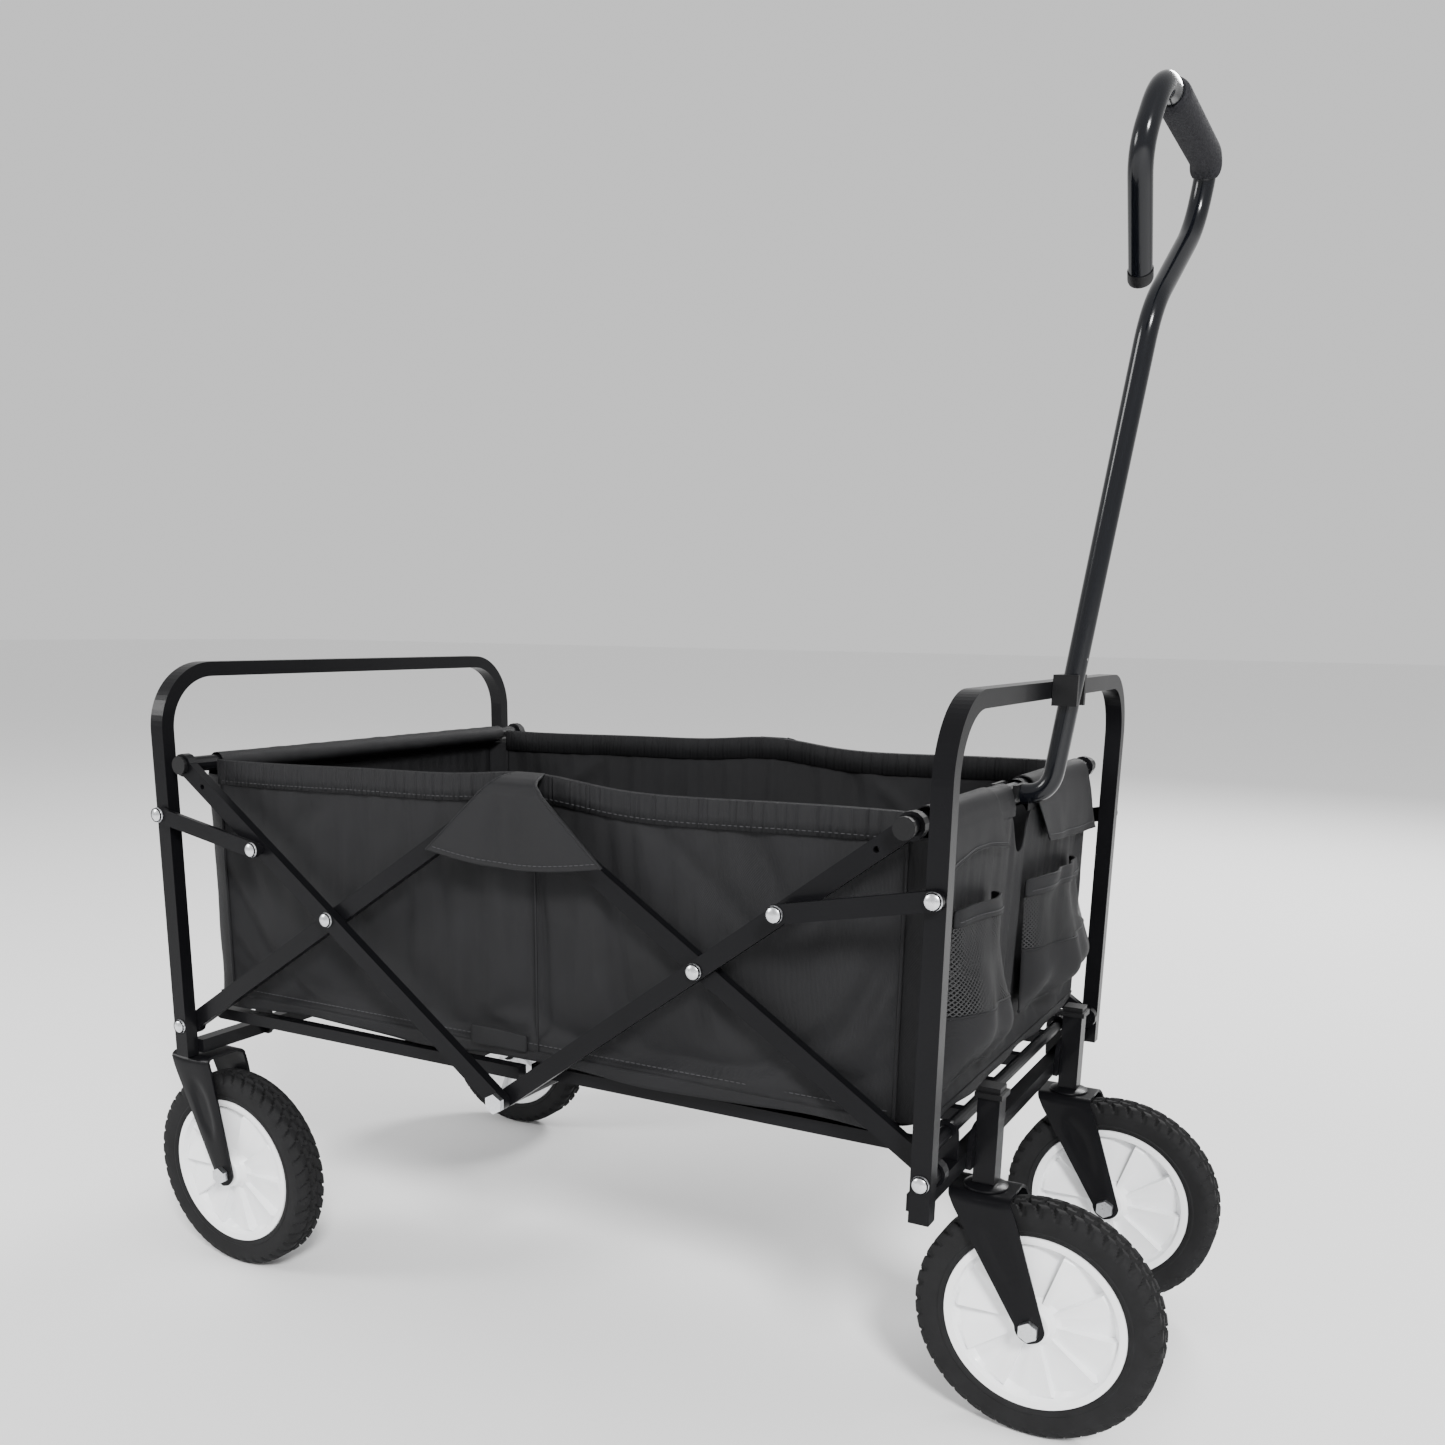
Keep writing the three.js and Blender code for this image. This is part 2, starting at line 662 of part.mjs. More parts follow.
// The fork is drawn about its axle, with the middle of its top plate at top_x and top_z.
function fork(top_x, top_z, extra = []) {
  const left = top_x - fork_top_width / 2;
  const right = top_x + fork_top_width / 2;
  const outline = cheekOutline(top_x, top_z);
  const cheeks = sides.map(([, side]) =>
    plateAlongY(outline, [(side * fork_gap) / 2, side * fork_half]),
  );
  const plate = block([left, right], [-fork_half, fork_half], [top_z - fork_plate, top_z]);
  const hole = rodAlongY(0, 0, [-fork_half - 1, fork_half + 1], axle_radius + pin_clearance);
  return build([plate, ...cheeks, ...extra], [hole]);
}

function casterFork() {
  const top_x = caster_stem_x - caster_axle_x;
  const top_z = caster_fork_top_z - wheel_radius;
  const bearing_top = top_z + caster_bearing_height;
  return fork(top_x, top_z, [
    rodAlongZ(top_x, 0, [top_z - 1, bearing_top], caster_bearing_radius),
    rodAlongZ(top_x, 0, [top_z, bearing_top + kingpin_length], kingpin_radius),
  ]);
}

// The rear fork's top plate reaches out under the foot of the leg.
function rearFork(side) {
  const top_x = -frame_reach - rear_axle_x;
  const top_z = leg_foot_z - fit_gap - wheel_radius;
  const left = top_x - leg_width;
  const right = top_x + leg_width;
  const reach = [0, side * (frame_outer_y - rear_wheel_y)].sort((a, b) => a - b);
  return fork(top_x, top_z, [block([left, right], reach, [top_z - fork_plate, top_z])]);
}

function addWheel(name, x, y, fork_geometry) {
  const pieces = [
    add(name + "_fork", fork_geometry, black_steel),
    add(name + "_axle_bolt", axleBolt(), zinc),
    add(name + "_rim", rim(), white_plastic),
    add(name + "_tyre", tyre(), rubber),
  ];
  for (const piece of pieces) piece.position.set(x, y, wheel_radius);
}

for (const [side_name, side] of sides) {
  addWheel("rear_" + side_name, rear_axle_x, side * rear_wheel_y, rearFork(side));
  addWheel("front_" + side_name, caster_axle_x, side * caster_y, casterFork());
}

// ---- Caster stems: square tubes in front of the lower cross tube, each with a cap.
function stemPlateOutline(y) {
  const outline = new THREE.Shape();
  outline.moveTo(y - stem_plate_half_width, lower_bar_z - lower_bar_size / 2);
  outline.lineTo(y + stem_plate_half_width, lower_bar_z - lower_bar_size / 2);
  outline.absarc(y, stem_plate_top_z - stem_plate_half_width, stem_plate_half_width, 0, Math.PI, false);
  outline.closePath();
  return outline;
}

function stem(side) {
  const y = side * caster_y;
  const half = stem_size / 2;
  const bottom = caster_fork_top_z + caster_bearing_height + fit_gap;
  const tube = block([stem_back_x, stem_back_x + stem_size], [y - half, y + half], [
    bottom,
    stem_top_z,
  ]);
  const plate = plateAlongX(stemPlateOutline(y), [stem_back_x - stem_plate_thickness, stem_back_x + 1]);
  const bore_top = bottom + kingpin_length + 1;
  const bore_radius = kingpin_radius + pin_clearance;
  const bore = rodAlongZ(caster_stem_x, y, [bottom - 1, bore_top], bore_radius);
  return build([tube, plate], [bore]);
}

function stemCap(side) {
  const y = side * caster_y;
  const half = stem_size / 2;
  const wide = half + stem_cap_overhang;
  const base = stem_top_z + fit_gap;
  const step = base + stem_cap_height / 2;
  const x = caster_stem_x;
  return build([
    block([x - wide, x + wide], [y - wide, y + wide], [base, step]),
    block([x - half, x + half], [y - half, y + half], [step - 1, base + stem_cap_height]),
  ]);
}

for (const [side_name, side] of sides) {
  add(side_name + "_caster_stem", stem(side), black_steel);
  add(side_name + "_stem_cap", stemCap(side), black_plastic);
}

// ---- Pull handle: a saddle on the front top tube, a bent tube, a foam grip and a clip.
const lean = new THREE.Vector3(Math.sin(handle_lean * degree), 0, Math.cos(handle_lean * degree));

// A point on the handle's own plane, at a width y and a height along its lean.
function onHandle(y, height) {
  const x = handle_bar_x + (handle_zero_z - top_bar_z) * Math.tan(handle_lean * degree);
  return new THREE.Vector3(x, y, handle_zero_z).addScaledVector(lean, height);
}

function handleTube() {
  // The foot leaves the saddle forward, and its corner is where the shaft's line meets it.
  const foot_z = rail_z;
  const corner_x = handle_bar_x + (foot_z - top_bar_z) * Math.tan(handle_lean * degree);
  const foot_corner = new THREE.Vector3(corner_x, handle_y, foot_z);
  const start = new THREE.Vector3(rail_x + saddle_radius + fit_gap, handle_y, foot_z);
  return bentTube(
    start,
    [
      [foot_corner, Math.min(handle_base_bend, corner_x - start.x - 1)],
      [onHandle(handle_y, handle_shaft_end), 22],
      [onHandle(62, handle_side_knee), 20],
      [onHandle(62, handle_top), 18],
      [onHandle(-106, handle_top), 20],
      [onHandle(-124, handle_side_knee), 18],
    ],
    onHandle(-60, handle_tip),
    handle_radius,
    64,
  );
}

function grip() {
  const centre = onHandle(0, handle_top);
  const span = [grip_near_y, grip_far_y];
  const bore = [grip_near_y - 1, grip_far_y + 1];
  return build(
    [rodAlongY(centre.x, centre.z, span, grip_outer_radius)],
    [rodAlongY(centre.x, centre.z, bore, handle_radius + fit_gap)],
  );
}

// The saddle is open at the top, so the cross tube can lift out of it.
function saddle() {
  const y = [handle_y - saddle_half_width, handle_y + saddle_half_width];
  const wide = [y[0] - 1, y[1] + 1];
  const slot = rail_radius + pin_clearance;
  const body = [
    rodAlongY(rail_x, rail_z, y, saddle_radius),
    block([rail_x - saddle_radius, rail_x + saddle_radius], y, [rail_z, rail_z + saddle_lip]),
  ];
  return build(body, [
    rodAlongY(rail_x, rail_z, wide, slot),
    block([rail_x - slot, rail_x + slot], wide, [rail_z, rail_z + saddle_radius + 2]),
  ]);
}

function clip() {
  const back = frame_reach + leg_width / 2 + fit_gap;
  const half = clip_height / 2;
  const slot = handle_radius + clip_jaw_clearance;
  const y = [handle_y - clip_half_width, handle_y + clip_half_width];
  const body = block([back, back + clip_depth], y, [top_bar_z - half, top_bar_z + half]);
  const start = onHandle(handle_y, -60);
  const length = 150;
  const cut = new THREE.CylinderGeometry(slot, slot, length, 24);
  cut.rotateX(Math.PI / 2).rotateY(handle_lean * degree);
  cut.translate(start.x, start.y, start.z).translate(
    (lean.x * length) / 2,
    0,
    (lean.z * length) / 2,
  );
  const mouth = block([handle_bar_x, back + clip_depth + 10], [handle_y - slot, handle_y + slot], [
    top_bar_z - clip_height,
    top_bar_z + clip_height,
  ]);
  return build([body], [cut, mouth]);
}

add("handle_tube", handleTube(), black_steel);
add("handle_grip", grip(), foam);
add("handle_saddle", saddle(), black_plastic);
add("handle_clip", clip(), black_plastic);

wagon.position.x = -box_middle_x;

export default wagon;
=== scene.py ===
# %% [markdown]
# A folding utility wagon. Two tall steel end frames stand on four wheels, crossed flat arms join
# them on each side, and a black fabric tub hangs between. The packed model is loaded first,
# because every later piece is placed from its joints and boxes.
# %% Load the frame
import json
import math
import bmesh
import bpy
import numpy as np
from mathutils import Matrix, Vector, noise


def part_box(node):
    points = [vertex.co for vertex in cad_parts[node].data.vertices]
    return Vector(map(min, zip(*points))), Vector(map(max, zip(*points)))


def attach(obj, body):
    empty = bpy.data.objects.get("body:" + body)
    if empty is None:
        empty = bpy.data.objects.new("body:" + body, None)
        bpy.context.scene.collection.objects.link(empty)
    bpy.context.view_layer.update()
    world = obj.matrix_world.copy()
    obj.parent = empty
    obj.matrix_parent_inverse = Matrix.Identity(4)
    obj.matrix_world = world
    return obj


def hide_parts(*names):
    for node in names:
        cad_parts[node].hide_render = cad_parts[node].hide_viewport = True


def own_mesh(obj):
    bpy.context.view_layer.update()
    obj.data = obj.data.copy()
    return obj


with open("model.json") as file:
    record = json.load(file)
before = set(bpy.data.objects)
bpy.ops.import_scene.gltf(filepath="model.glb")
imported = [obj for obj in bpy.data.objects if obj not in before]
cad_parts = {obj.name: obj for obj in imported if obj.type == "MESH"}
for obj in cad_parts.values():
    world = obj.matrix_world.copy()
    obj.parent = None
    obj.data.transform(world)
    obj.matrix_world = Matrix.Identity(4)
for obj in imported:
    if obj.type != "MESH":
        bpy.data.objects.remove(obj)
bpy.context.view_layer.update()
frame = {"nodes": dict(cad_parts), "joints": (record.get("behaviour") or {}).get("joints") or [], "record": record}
MM = 0.001
SIDES = {"left": 1, "right": -1}
ENDS = {"rear": -1, "front": 1}
joint_at = {j["name"]: Vector(j.get("pos_m", (0, 0, 0))) for j in frame["joints"]}
middle_x = joint_at["middle"].x

# %% [markdown]
# Shader maths reads best as plain arithmetic. Value wraps one socket, and each operator on it
# adds the Math node that does the same sum. Finish wraps one material and adds any other node.
# %% Shader helpers


class Value:
    def __init__(self, finish, socket):
        self.finish = finish
        self.socket = socket

    def math(self, operation, *others):
        inputs = {i: other for i, other in enumerate((self, *others))}
        return self.finish.node("ShaderNodeMath", {"operation": operation}, inputs)

    def __add__(self, other):
        return self.math("ADD", other)

    __radd__ = __add__

    def __mul__(self, other):
        return self.math("MULTIPLY", other)

    __rmul__ = __mul__

    def __sub__(self, other):
        return self.math("SUBTRACT", other)

    def __rsub__(self, other):
        return self.finish.node("ShaderNodeMath", {"operation": "SUBTRACT"}, {0: other, 1: self})

    def sine(self):
        return self.math("SINE")

    def absolute(self):
        return self.math("ABSOLUTE")

    def clamped(self, low, high):
        ends = {"Value": self, "From Min": low, "From Max": high}
        return self.finish.node("ShaderNodeMapRange", {"interpolation_type": "SMOOTHSTEP"}, ends)


class Finish:
    def __init__(self, name, color, roughness, metallic=0.0, **constants):
        self.material = bpy.data.materials.new(name)
        self.material.use_nodes = True
        self.tree = self.material.node_tree
        self.shader = self.tree.nodes["Principled BSDF"]
        self.shader.inputs["Base Color"].default_value = (*color, 1)
        self.shader.inputs["Roughness"].default_value = roughness
        self.shader.inputs["Metallic"].default_value = metallic
        for socket, value in constants.items():
            self.shader.inputs[socket.replace("_", " ")].default_value = value

    def link(self, value, socket):
        if isinstance(value, Value):
            self.tree.links.new(value.socket, socket)
        else:
            socket.default_value = value

    def node(self, kind, settings, inputs, output=0):
        made = self.tree.nodes.new(kind)
        for key, value in settings.items():
            setattr(made, key, value)
        for key, value in inputs.items():
            self.link(value, made.inputs[key])
        return Value(self, made.outputs[output])

    def place(self):
        return self.node("ShaderNodeTexCoord", {}, {}, "Object")

    def axes(self):
        split = self.node("ShaderNodeSeparateXYZ", {}, {"Vector": self.place()})
        outputs = split.socket.node.outputs
        return [Value(self, outputs[i]) for i in range(3)]

    def grain(self, scale, detail=3.0, roughness=0.55):
        inputs = {"Vector": self.place(), "Scale": scale, "Detail": detail, "Roughness": roughness}
        return self.node("ShaderNodeTexNoise", {}, inputs)

    def blend(self, mask, first, second):
        settings = {"data_type": "RGBA"}
        inputs = {0: mask, 6: (*first, 1), 7: (*second, 1)}
        return self.node("ShaderNodeMix", settings, inputs, 2)

    def wear(self, socket, value):
        self.link(value, self.shader.inputs[socket])

    def bump(self, height, distance, strength=1.0):
        inputs = {"Height": height, "Distance": distance, "Strength": strength}
        self.wear("Normal", self.node("ShaderNodeBump", {}, inputs))


print("a shader value has", [name for name in vars(Value) if not name.startswith("__")])

# %% [markdown]
# The steel is powder coated: near black, half gloss, with a fine orange-peel skin. The handle has
# a smoother paint with a few small chips. Both roughness and colour shift a little over the tube.
# %% Painted and plated metal


def powder_coat():
    finish = Finish(
        "powder coat", (0.004, 0.004, 0.005), 0.3, Coat_Weight=0.05, Specular_IOR_Level=0.09
    )
    cloud = finish.grain(9)
    finish.wear("Roughness", 0.26 + 0.14 * cloud)
    finish.wear("Base Color", finish.blend(cloud, (0.003, 0.003, 0.0035), (0.006, 0.006, 0.007)))
    finish.bump(finish.grain(900, 2), 0.00008)
    return finish.material


def handle_paint():
    finish = Finish(
        "handle paint", (0.004, 0.004, 0.005), 0.15, Coat_Weight=0.15, Specular_IOR_Level=0.25
    )
    chips = finish.grain(75, 4).clamped(0.735, 0.75)
    scuffs = finish.grain(30, 5)
    finish.wear("Base Color", finish.blend(chips, (0.003, 0.0035, 0.005), (0.2, 0.2, 0.2)))
    finish.wear("Roughness", 0.12 + 0.12 * scuffs + 0.3 * chips)
    finish.bump(scuffs - 0.5 * chips, 0.00006)
    return finish.material


def zinc_plate():
    finish = Finish("zinc plate", (0.68, 0.69, 0.71), 0.28, 1.0)
    brush = finish.grain(500, 4)
    finish.wear("Roughness", 0.2 + 0.2 * brush)
    finish.wear("Base Color", finish.blend(brush, (0.55, 0.56, 0.58), (0.8, 0.81, 0.83)))
    finish.bump(brush, 0.00005)
    return finish.material


PAINT = {
    "black_steel": powder_coat(),
    "gloss_black_steel": handle_paint(),
    "zinc": zinc_plate(),
}
print("metal finishes", list(PAINT))

# %% [markdown]
# Moulded plastic has a faint texture from its tool, and pale plastic picks up a little dust in it.
# Tyre rubber is matt with a dusty bloom, and the grip's closed-cell foam is finely pitted, its
# colour darkened by painted shade down in each pit.
# %% Plastic, rubber and foam


def black_moulding():
    finish = Finish("black moulding", (0.006, 0.006, 0.0065), 0.45, Specular_IOR_Level=0.2)
    tool_marks = finish.grain(700, 2)
    finish.wear("Roughness", 0.38 + 0.16 * tool_marks)
    finish.bump(tool_marks, 0.00008)
    return finish.material


def white_moulding():
    finish = Finish("white moulding", (0.78, 0.79, 0.8), 0.35, Coat_Weight=0.1)
    dust = finish.grain(45, 5)
    finish.wear("Base Color", finish.blend(dust, (0.95, 0.955, 0.96), (0.86, 0.87, 0.885)))
    finish.wear("Roughness", 0.28 + 0.16 * dust)
    finish.bump(finish.grain(600, 2), 0.00004)
    return finish.material


def tyre_rubber():
    finish = Finish("tyre rubber", (0.014, 0.014, 0.014), 0.75, Specular_IOR_Level=0.15)
    bloom = finish.grain(60, 5)
    finish.wear("Base Color", finish.blend(bloom, (0.005, 0.005, 0.005), (0.016, 0.016, 0.017)))
    finish.wear("Roughness", 0.6 + 0.25 * bloom)
    finish.bump(finish.grain(500, 3), 0.00015)
    return finish.material


def grip_foam():
    finish = Finish("grip foam", (0.014, 0.014, 0.016), 0.95, Specular_IOR_Level=0.2)
    scale = {"Vector": finish.place(), "Scale": 650.0}
    cells = finish.node("ShaderNodeTexVoronoi", {}, scale, "Distance")
    # The colour follows the pit depth: painted shade, darker down in each pit.
    finish.wear("Base Color", finish.blend(cells, (0.009, 0.009, 0.011), (0.022, 0.022, 0.025)))
    finish.bump(cells, 0.0004)
    return finish.material


PAINT["black_plastic"] = black_moulding()
PAINT["white_plastic"] = white_moulding()
PAINT["tyre_rubber"] = tyre_rubber()
PAINT["foam"] = grip_foam()
print("finishes so far", list(PAINT))

# %% [markdown]
# The tub is coarse woven polyester. Its threads are two sine waves that cross: one runs up the
# wall and one runs along it, so the same weave suits the sides, the ends and the floor. The
# pockets are open net. Two slanted waves of its own cut its holes through Alpha.
# %% Fabric finishes
THREAD_PITCH = 0.9 * MM
NET_PITCH = 3.2 * MM
NET_EDGE = (0.38, 0.5)


def crossed_waves(finish, pitch):
    x, y, z = finish.axes()
    along = ((x + y) * (math.pi / pitch)).sine().absolute()
    upward = ((z + 0.6 * (x - y)) * (math.pi / pitch)).sine().absolute()
    return along, upward


def woven_polyester():
    finish = Finish("woven polyester", (0.015, 0.015, 0.016), 0.62, Specular_IOR_Level=0.22)
    along, upward = crossed_waves(finish, THREAD_PITCH)
    dust = finish.grain(22, 6)
    creases = finish.grain(14, 2, 0.4)
    finish.wear("Base Color", finish.blend(dust, (0.004, 0.004, 0.0045), (0.011, 0.011, 0.0125)))
    finish.wear("Roughness", 0.5 + 0.22 * dust)
    finish.bump(0.25 * (along + upward) + 5.0 * creases, 0.0006)
    return finish.material


def sewing_thread():
    finish = Finish("sewing thread", (0.03, 0.03, 0.032), 0.7)
    twist = finish.grain(1500, 2)
    finish.wear("Base Color", finish.blend(twist, (0.018, 0.018, 0.02), (0.05, 0.05, 0.054)))
    finish.bump(twist, 0.0002)
    return finish.material


def pocket_net():
    finish = Finish("pocket net", (0.014, 0.014, 0.015), 0.7)
    y, z = finish.axes()[1:]
    along = ((y + z) * (math.pi / NET_PITCH)).sine().absolute()
    upward = ((y - z) * (math.pi / NET_PITCH)).sine().absolute()
    strands = 1 - along.clamped(*NET_EDGE) * upward.clamped(*NET_EDGE)
    finish.wear("Alpha", strands)
    finish.bump(strands, 0.0003)
    return finish.material


PAINT["fabric"] = woven_polyester()
PAINT["net"] = pocket_net()
PAINT["thread"] = sewing_thread()
PAINT["floor_board"] = PAINT["fabric"]
print("all finishes", list(PAINT))

# %% [markdown]
# The frame's own steel parts already have their true shape. They only need paint, smooth shading
# across their round faces and a small rounded edge, as any bent and stamped steel has.
# %% Finish the frame's own parts
EDGE_RADIUS = 0.6 * MM


def shade(data, angle=35):
    data.polygons.foreach_set("use_smooth", [True] * len(data.polygons))
    data.set_sharp_from_angle(angle=math.radians(angle))


def round_edges(piece, width, angle=50):
    rounding = piece.modifiers.new("rounded edges", "BEVEL")
    rounding.width = width
    rounding.segments = 2
    rounding.limit_method = "ANGLE"
    rounding.angle_limit = math.radians(angle)
    rounding.harden_normals = True


slot_of = {part["node"]: part["material_slot"] for part in frame["record"]["subparts"]}
for name, node in frame["nodes"].items():
    node.data.materials.clear()
    node.data.materials.append(PAINT[slot_of[name]])
    shade(node.data)
    if not name.endswith(("rim", "tyre", "tube", "bolt")):
        round_edges(node, EDGE_RADIUS)
print("painted", len(frame["nodes"]), "parts of the frame")

# %% [markdown]
# Most new pieces are grids of points: a profile that is moved along a path or turned about an
# axle. One function makes the mesh, paints it, and fixes it to the body that it moves with. The
# names of new pieces are kept in a list, so that each step can print what it made.
# %% Mesh helpers
new_names = []


def make(name, points, faces, body, slot, replaces=(), paint=None, angle=35):
    data = bpy.data.meshes.new(name)
    data.from_pydata([tuple(p) for p in points], [], faces)
    shell = bmesh.new()
    shell.from_mesh(data)
    bmesh.ops.recalc_face_normals(shell, faces=shell.faces)
    shell.to_mesh(data)
    shell.free()
    shade(data, angle)
    piece = bpy.data.objects.new(name, data)
    bpy.context.collection.objects.link(piece)
    data.materials.append(PAINT[paint or slot])
    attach(piece, body)
    if replaces:
        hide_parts(*replaces)
    new_names.append(name)
    return piece


def tell(what):
    print(what, len(new_names), new_names)
    new_names.clear()


def grid_faces(rows, columns, close_rows=False, close_columns=False):
    faces = []
    for i in range(rows if close_rows else rows - 1):
        for j in range(columns if close_columns else columns - 1):
            row, next_row = i * columns, (i + 1) % rows * columns
            next_j = (j + 1) % columns
            faces.append((row + j, row + next_j, next_row + next_j, next_row + j))
    return faces


def thicken(piece, thickness, offset=0.0):
    skin = piece.modifiers.new("thickness", "SOLIDIFY")
    skin.thickness = thickness
    skin.offset = offset
    return piece


print("a grid of 3 by 4 points has", len(grid_faces(3, 4)), "faces")

# %% [markdown]
# A bent tube or a sewn cord is a circle carried along a path. Each ring is turned with the path
# from the ring before it, so that the tube never twists.
# %% Swept tube


def sweep(name, path, radius, body, slot, sides=16, closed=False, **extra):
    path = [Vector(p) for p in path]
    count = len(path)
    points = []
    across = None
    for i, here in enumerate(path):
        ahead = path[(i + 1) % count] if closed or i + 1 < count else here
        behind = path[i - 1] if closed or i > 0 else here
        along = (ahead - behind).normalized()
        if across is None:
            across = along.orthogonal().normalized()
        across = (across - along * across.dot(along)).normalized()
        other = along.cross(across)
        size = radius(i / (count - 1)) if callable(radius) else radius
        for k in range(sides):
            turn = 2 * math.pi * k / sides
            points.append(here + size * (math.cos(turn) * across + math.sin(turn) * other))
    faces = grid_faces(count, sides, closed, True)
    if not closed:
        faces.append(tuple(range(sides)))
        faces.append(tuple(range((count - 1) * sides, count * sides)))
    return make(name, points, faces, body, slot, **extra)


print("a straight tube of 2 rings has", len(grid_faces(2, 16, False, True)), "side faces")

# %% [markdown]
# The rivets are domed and zinc plated. A dome is half an ellipse turned about the rivet's axis,
# and it covers the plain head below it. Its height is the head's height and a little more.
# %% Rivets
RIVET_RADIUS = 6.3 * MM
RIVET_HEIGHT = 3.4 * MM
HEAD_HEIGHT = 2.0 * MM
STAY_HALF = 6.5 * MM
LEG_OUTER_Y = 237.5 * MM


def dome(name, centre, side, body, radius=RIVET_RADIUS, height=RIVET_HEIGHT):
    rings, sides = 6, 24
    points = []
    for i in range(rings + 1):
        rise = math.sin(i / rings * math.pi / 2)
        reach = radius * math.cos(i / rings * math.pi / 2) + 0.02 * MM
        for k in range(sides):
            turn = 2 * math.pi * k / sides
            step = Vector((reach * math.cos(turn), side * height * rise, reach * math.sin(turn)))
            points.append(Vector(centre) + step)
    faces = grid_faces(rings + 1, sides, False, True)
    faces += [tuple(range(sides)), tuple(range(rings * sides, (rings + 1) * sides))]
    return make(name, points, faces, body, "zinc")


stay_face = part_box("rear_left_stay")[1].y - HEAD_HEIGHT
inner_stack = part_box("front_left_leg_arm")[1].y - HEAD_HEIGHT
outer_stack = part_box("rear_left_leg_arm")[1].y - HEAD_HEIGHT
for end_name, end in ENDS.items():
    pin_x = joint_at["fold"].x if end < 0 else joint_at["front_leg_pivot"].x
    cross = joint_at["rear_cross"] if end < 0 else joint_at["front_cross"]
    stay_pin = joint_at[f"{end_name}_stay_swing"]
    stay_low, stay_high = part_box(f"{end_name}_left_stay")
    stay_inner_x = (stay_high.x if end < 0 else stay_low.x) + end * STAY_HALF
    stay_inner_z = stay_low.z + STAY_HALF
    stack = inner_stack if end > 0 else outer_stack
    for side_name, side in SIDES.items():
        tag = f"{end_name}_{side_name}"
        pin_z = joint_at["fold"].z
        dome(f"{tag}_leg_rivet", (pin_x, side * LEG_OUTER_Y, pin_z), side, f"{end_name}_end")
        centre = (stay_pin.x, side * (stay_face + 0.3 * MM), stay_pin.z)
        dome(f"{tag}_stay_rivet", centre, side, f"{end_name}_end")
        centre = (stay_inner_x, side * stay_face, stay_inner_z)
        dome(f"{tag}_stay_end_rivet", centre, side, f"{end_name}_stays")
        centre = (cross.x, side * stack, cross.z)
        dome(f"{tag}_cross_rivet", centre, side, f"{end_name}_leg_arms")
tell("rivet domes")

# %% [markdown]
# Each wheel has a white rim moulded as a pinwheel: ten facets, each tilted, with a small step to
# the next. The profile is a closed ring that changes with the tilt, so one turned grid holds both
# faces of the rim. Every wheel is turned from the same rings.
# %% Rims
FACETS = 10
FACET_STEPS = 8
FACET_GAP = 0.004


def turned(name, centre, rings, **extra):
    points = []
    for angle, ring in rings:
        for radius, width in ring:
            step = Vector((radius * math.cos(angle), width, radius * math.sin(angle)))
            points.append(Vector(centre) + step)
    faces = grid_faces(len(rings), len(points) // len(rings), True, True)
    return make(name, points, faces, **extra)


def rim_profile(tilt):
    face = [
        (4.6, 18.4), (9, 18.4), (12.4, 17.6), (13.2, 16.5), (14, 12), (16, 9.5),
        (19, 8.0 + 2.4 * tilt), (56, 7.2 + 4.8 * tilt), (59, 8.0), (60.5, 12.8),
        (63, 13.4), (65.6, 13.4), (66, 12.5),
    ]
    mirrored = [(radius, -width) for radius, width in reversed(face)]
    return [(radius * MM, width * MM) for radius, width in face + mirrored]


rim_rings = []
for facet in range(FACETS):
    for i in range(FACET_STEPS + 1):
        share = i / FACET_STEPS
        gap = FACET_GAP if i == FACET_STEPS else 0
        angle = 2 * math.pi * (facet + share) / FACETS - gap
        rim_rings.append((angle, rim_profile(2 * share - 1)))
print("rim", len(rim_rings), "rings of", len(rim_rings[0][1]), "points")

# %% [markdown]
# The tyre's tread is a herringbone of blocks. The same turned grid is used with fine steps: where
# a slanted wave over the angle and the width is low, the point drops to the bottom of a groove.
# %% Tyres
TREAD_BLOCKS = 44
GROOVE_DEPTH = 2.2
GROOVE_SHARE = 0.24
STEPS_PER_BLOCK = 10


def tyre_profile(angle):
    wall = [(66.3, 12.4), (68, 13.8), (70, 14.3), (71, 13.9), (77, 15.2), (82, 15.2), (84.6, 14.4)]
    tread = [(86.6, 13), (88, 11.4), (89, 9.6), (89, 8), (89, 6), (89, 4.4), (89, 3.6), (89, 2)]
    ring = wall + tread + [(89, 0)]
    ring += [(radius, -width) for radius, width in reversed(wall + tread)]
    shaped = []
    for radius, width in ring:
        if radius > 84:
            lead = 0.75 * abs(width) / 9.6 + (0.5 if width > 0 else 0)
            phase = (angle * TREAD_BLOCKS / (2 * math.pi) + lead) % 1
            channel = abs(abs(width) - 4.0) < 0.5
            if phase < GROOVE_SHARE or channel:
                radius -= GROOVE_DEPTH
        shaped.append((radius * MM, width * MM))
    return shaped


tyre_steps = TREAD_BLOCKS * STEPS_PER_BLOCK
tyre_angles = [2 * math.pi * i / tyre_steps for i in range(tyre_steps)]
tyre_rings = [(angle, tyre_profile(angle)) for angle in tyre_angles]
for end_name in ENDS:
    for side_name in SIDES:
        wheel = f"{end_name}_{side_name}"
        centre = joint_at[f"{wheel}_spin"]
        turned(
            wheel + "_pinwheel_rim", centre, rim_rings, body=wheel + "_wheel",
            slot="white_plastic", replaces=[wheel + "_rim"], angle=18,
        )
        turned(
            wheel + "_block_tyre", centre, tyre_rings, body=wheel + "_wheel",
            slot="tyre_rubber", replaces=[wheel + "_tyre"], angle=30,
        )
tell("rims and tyres")

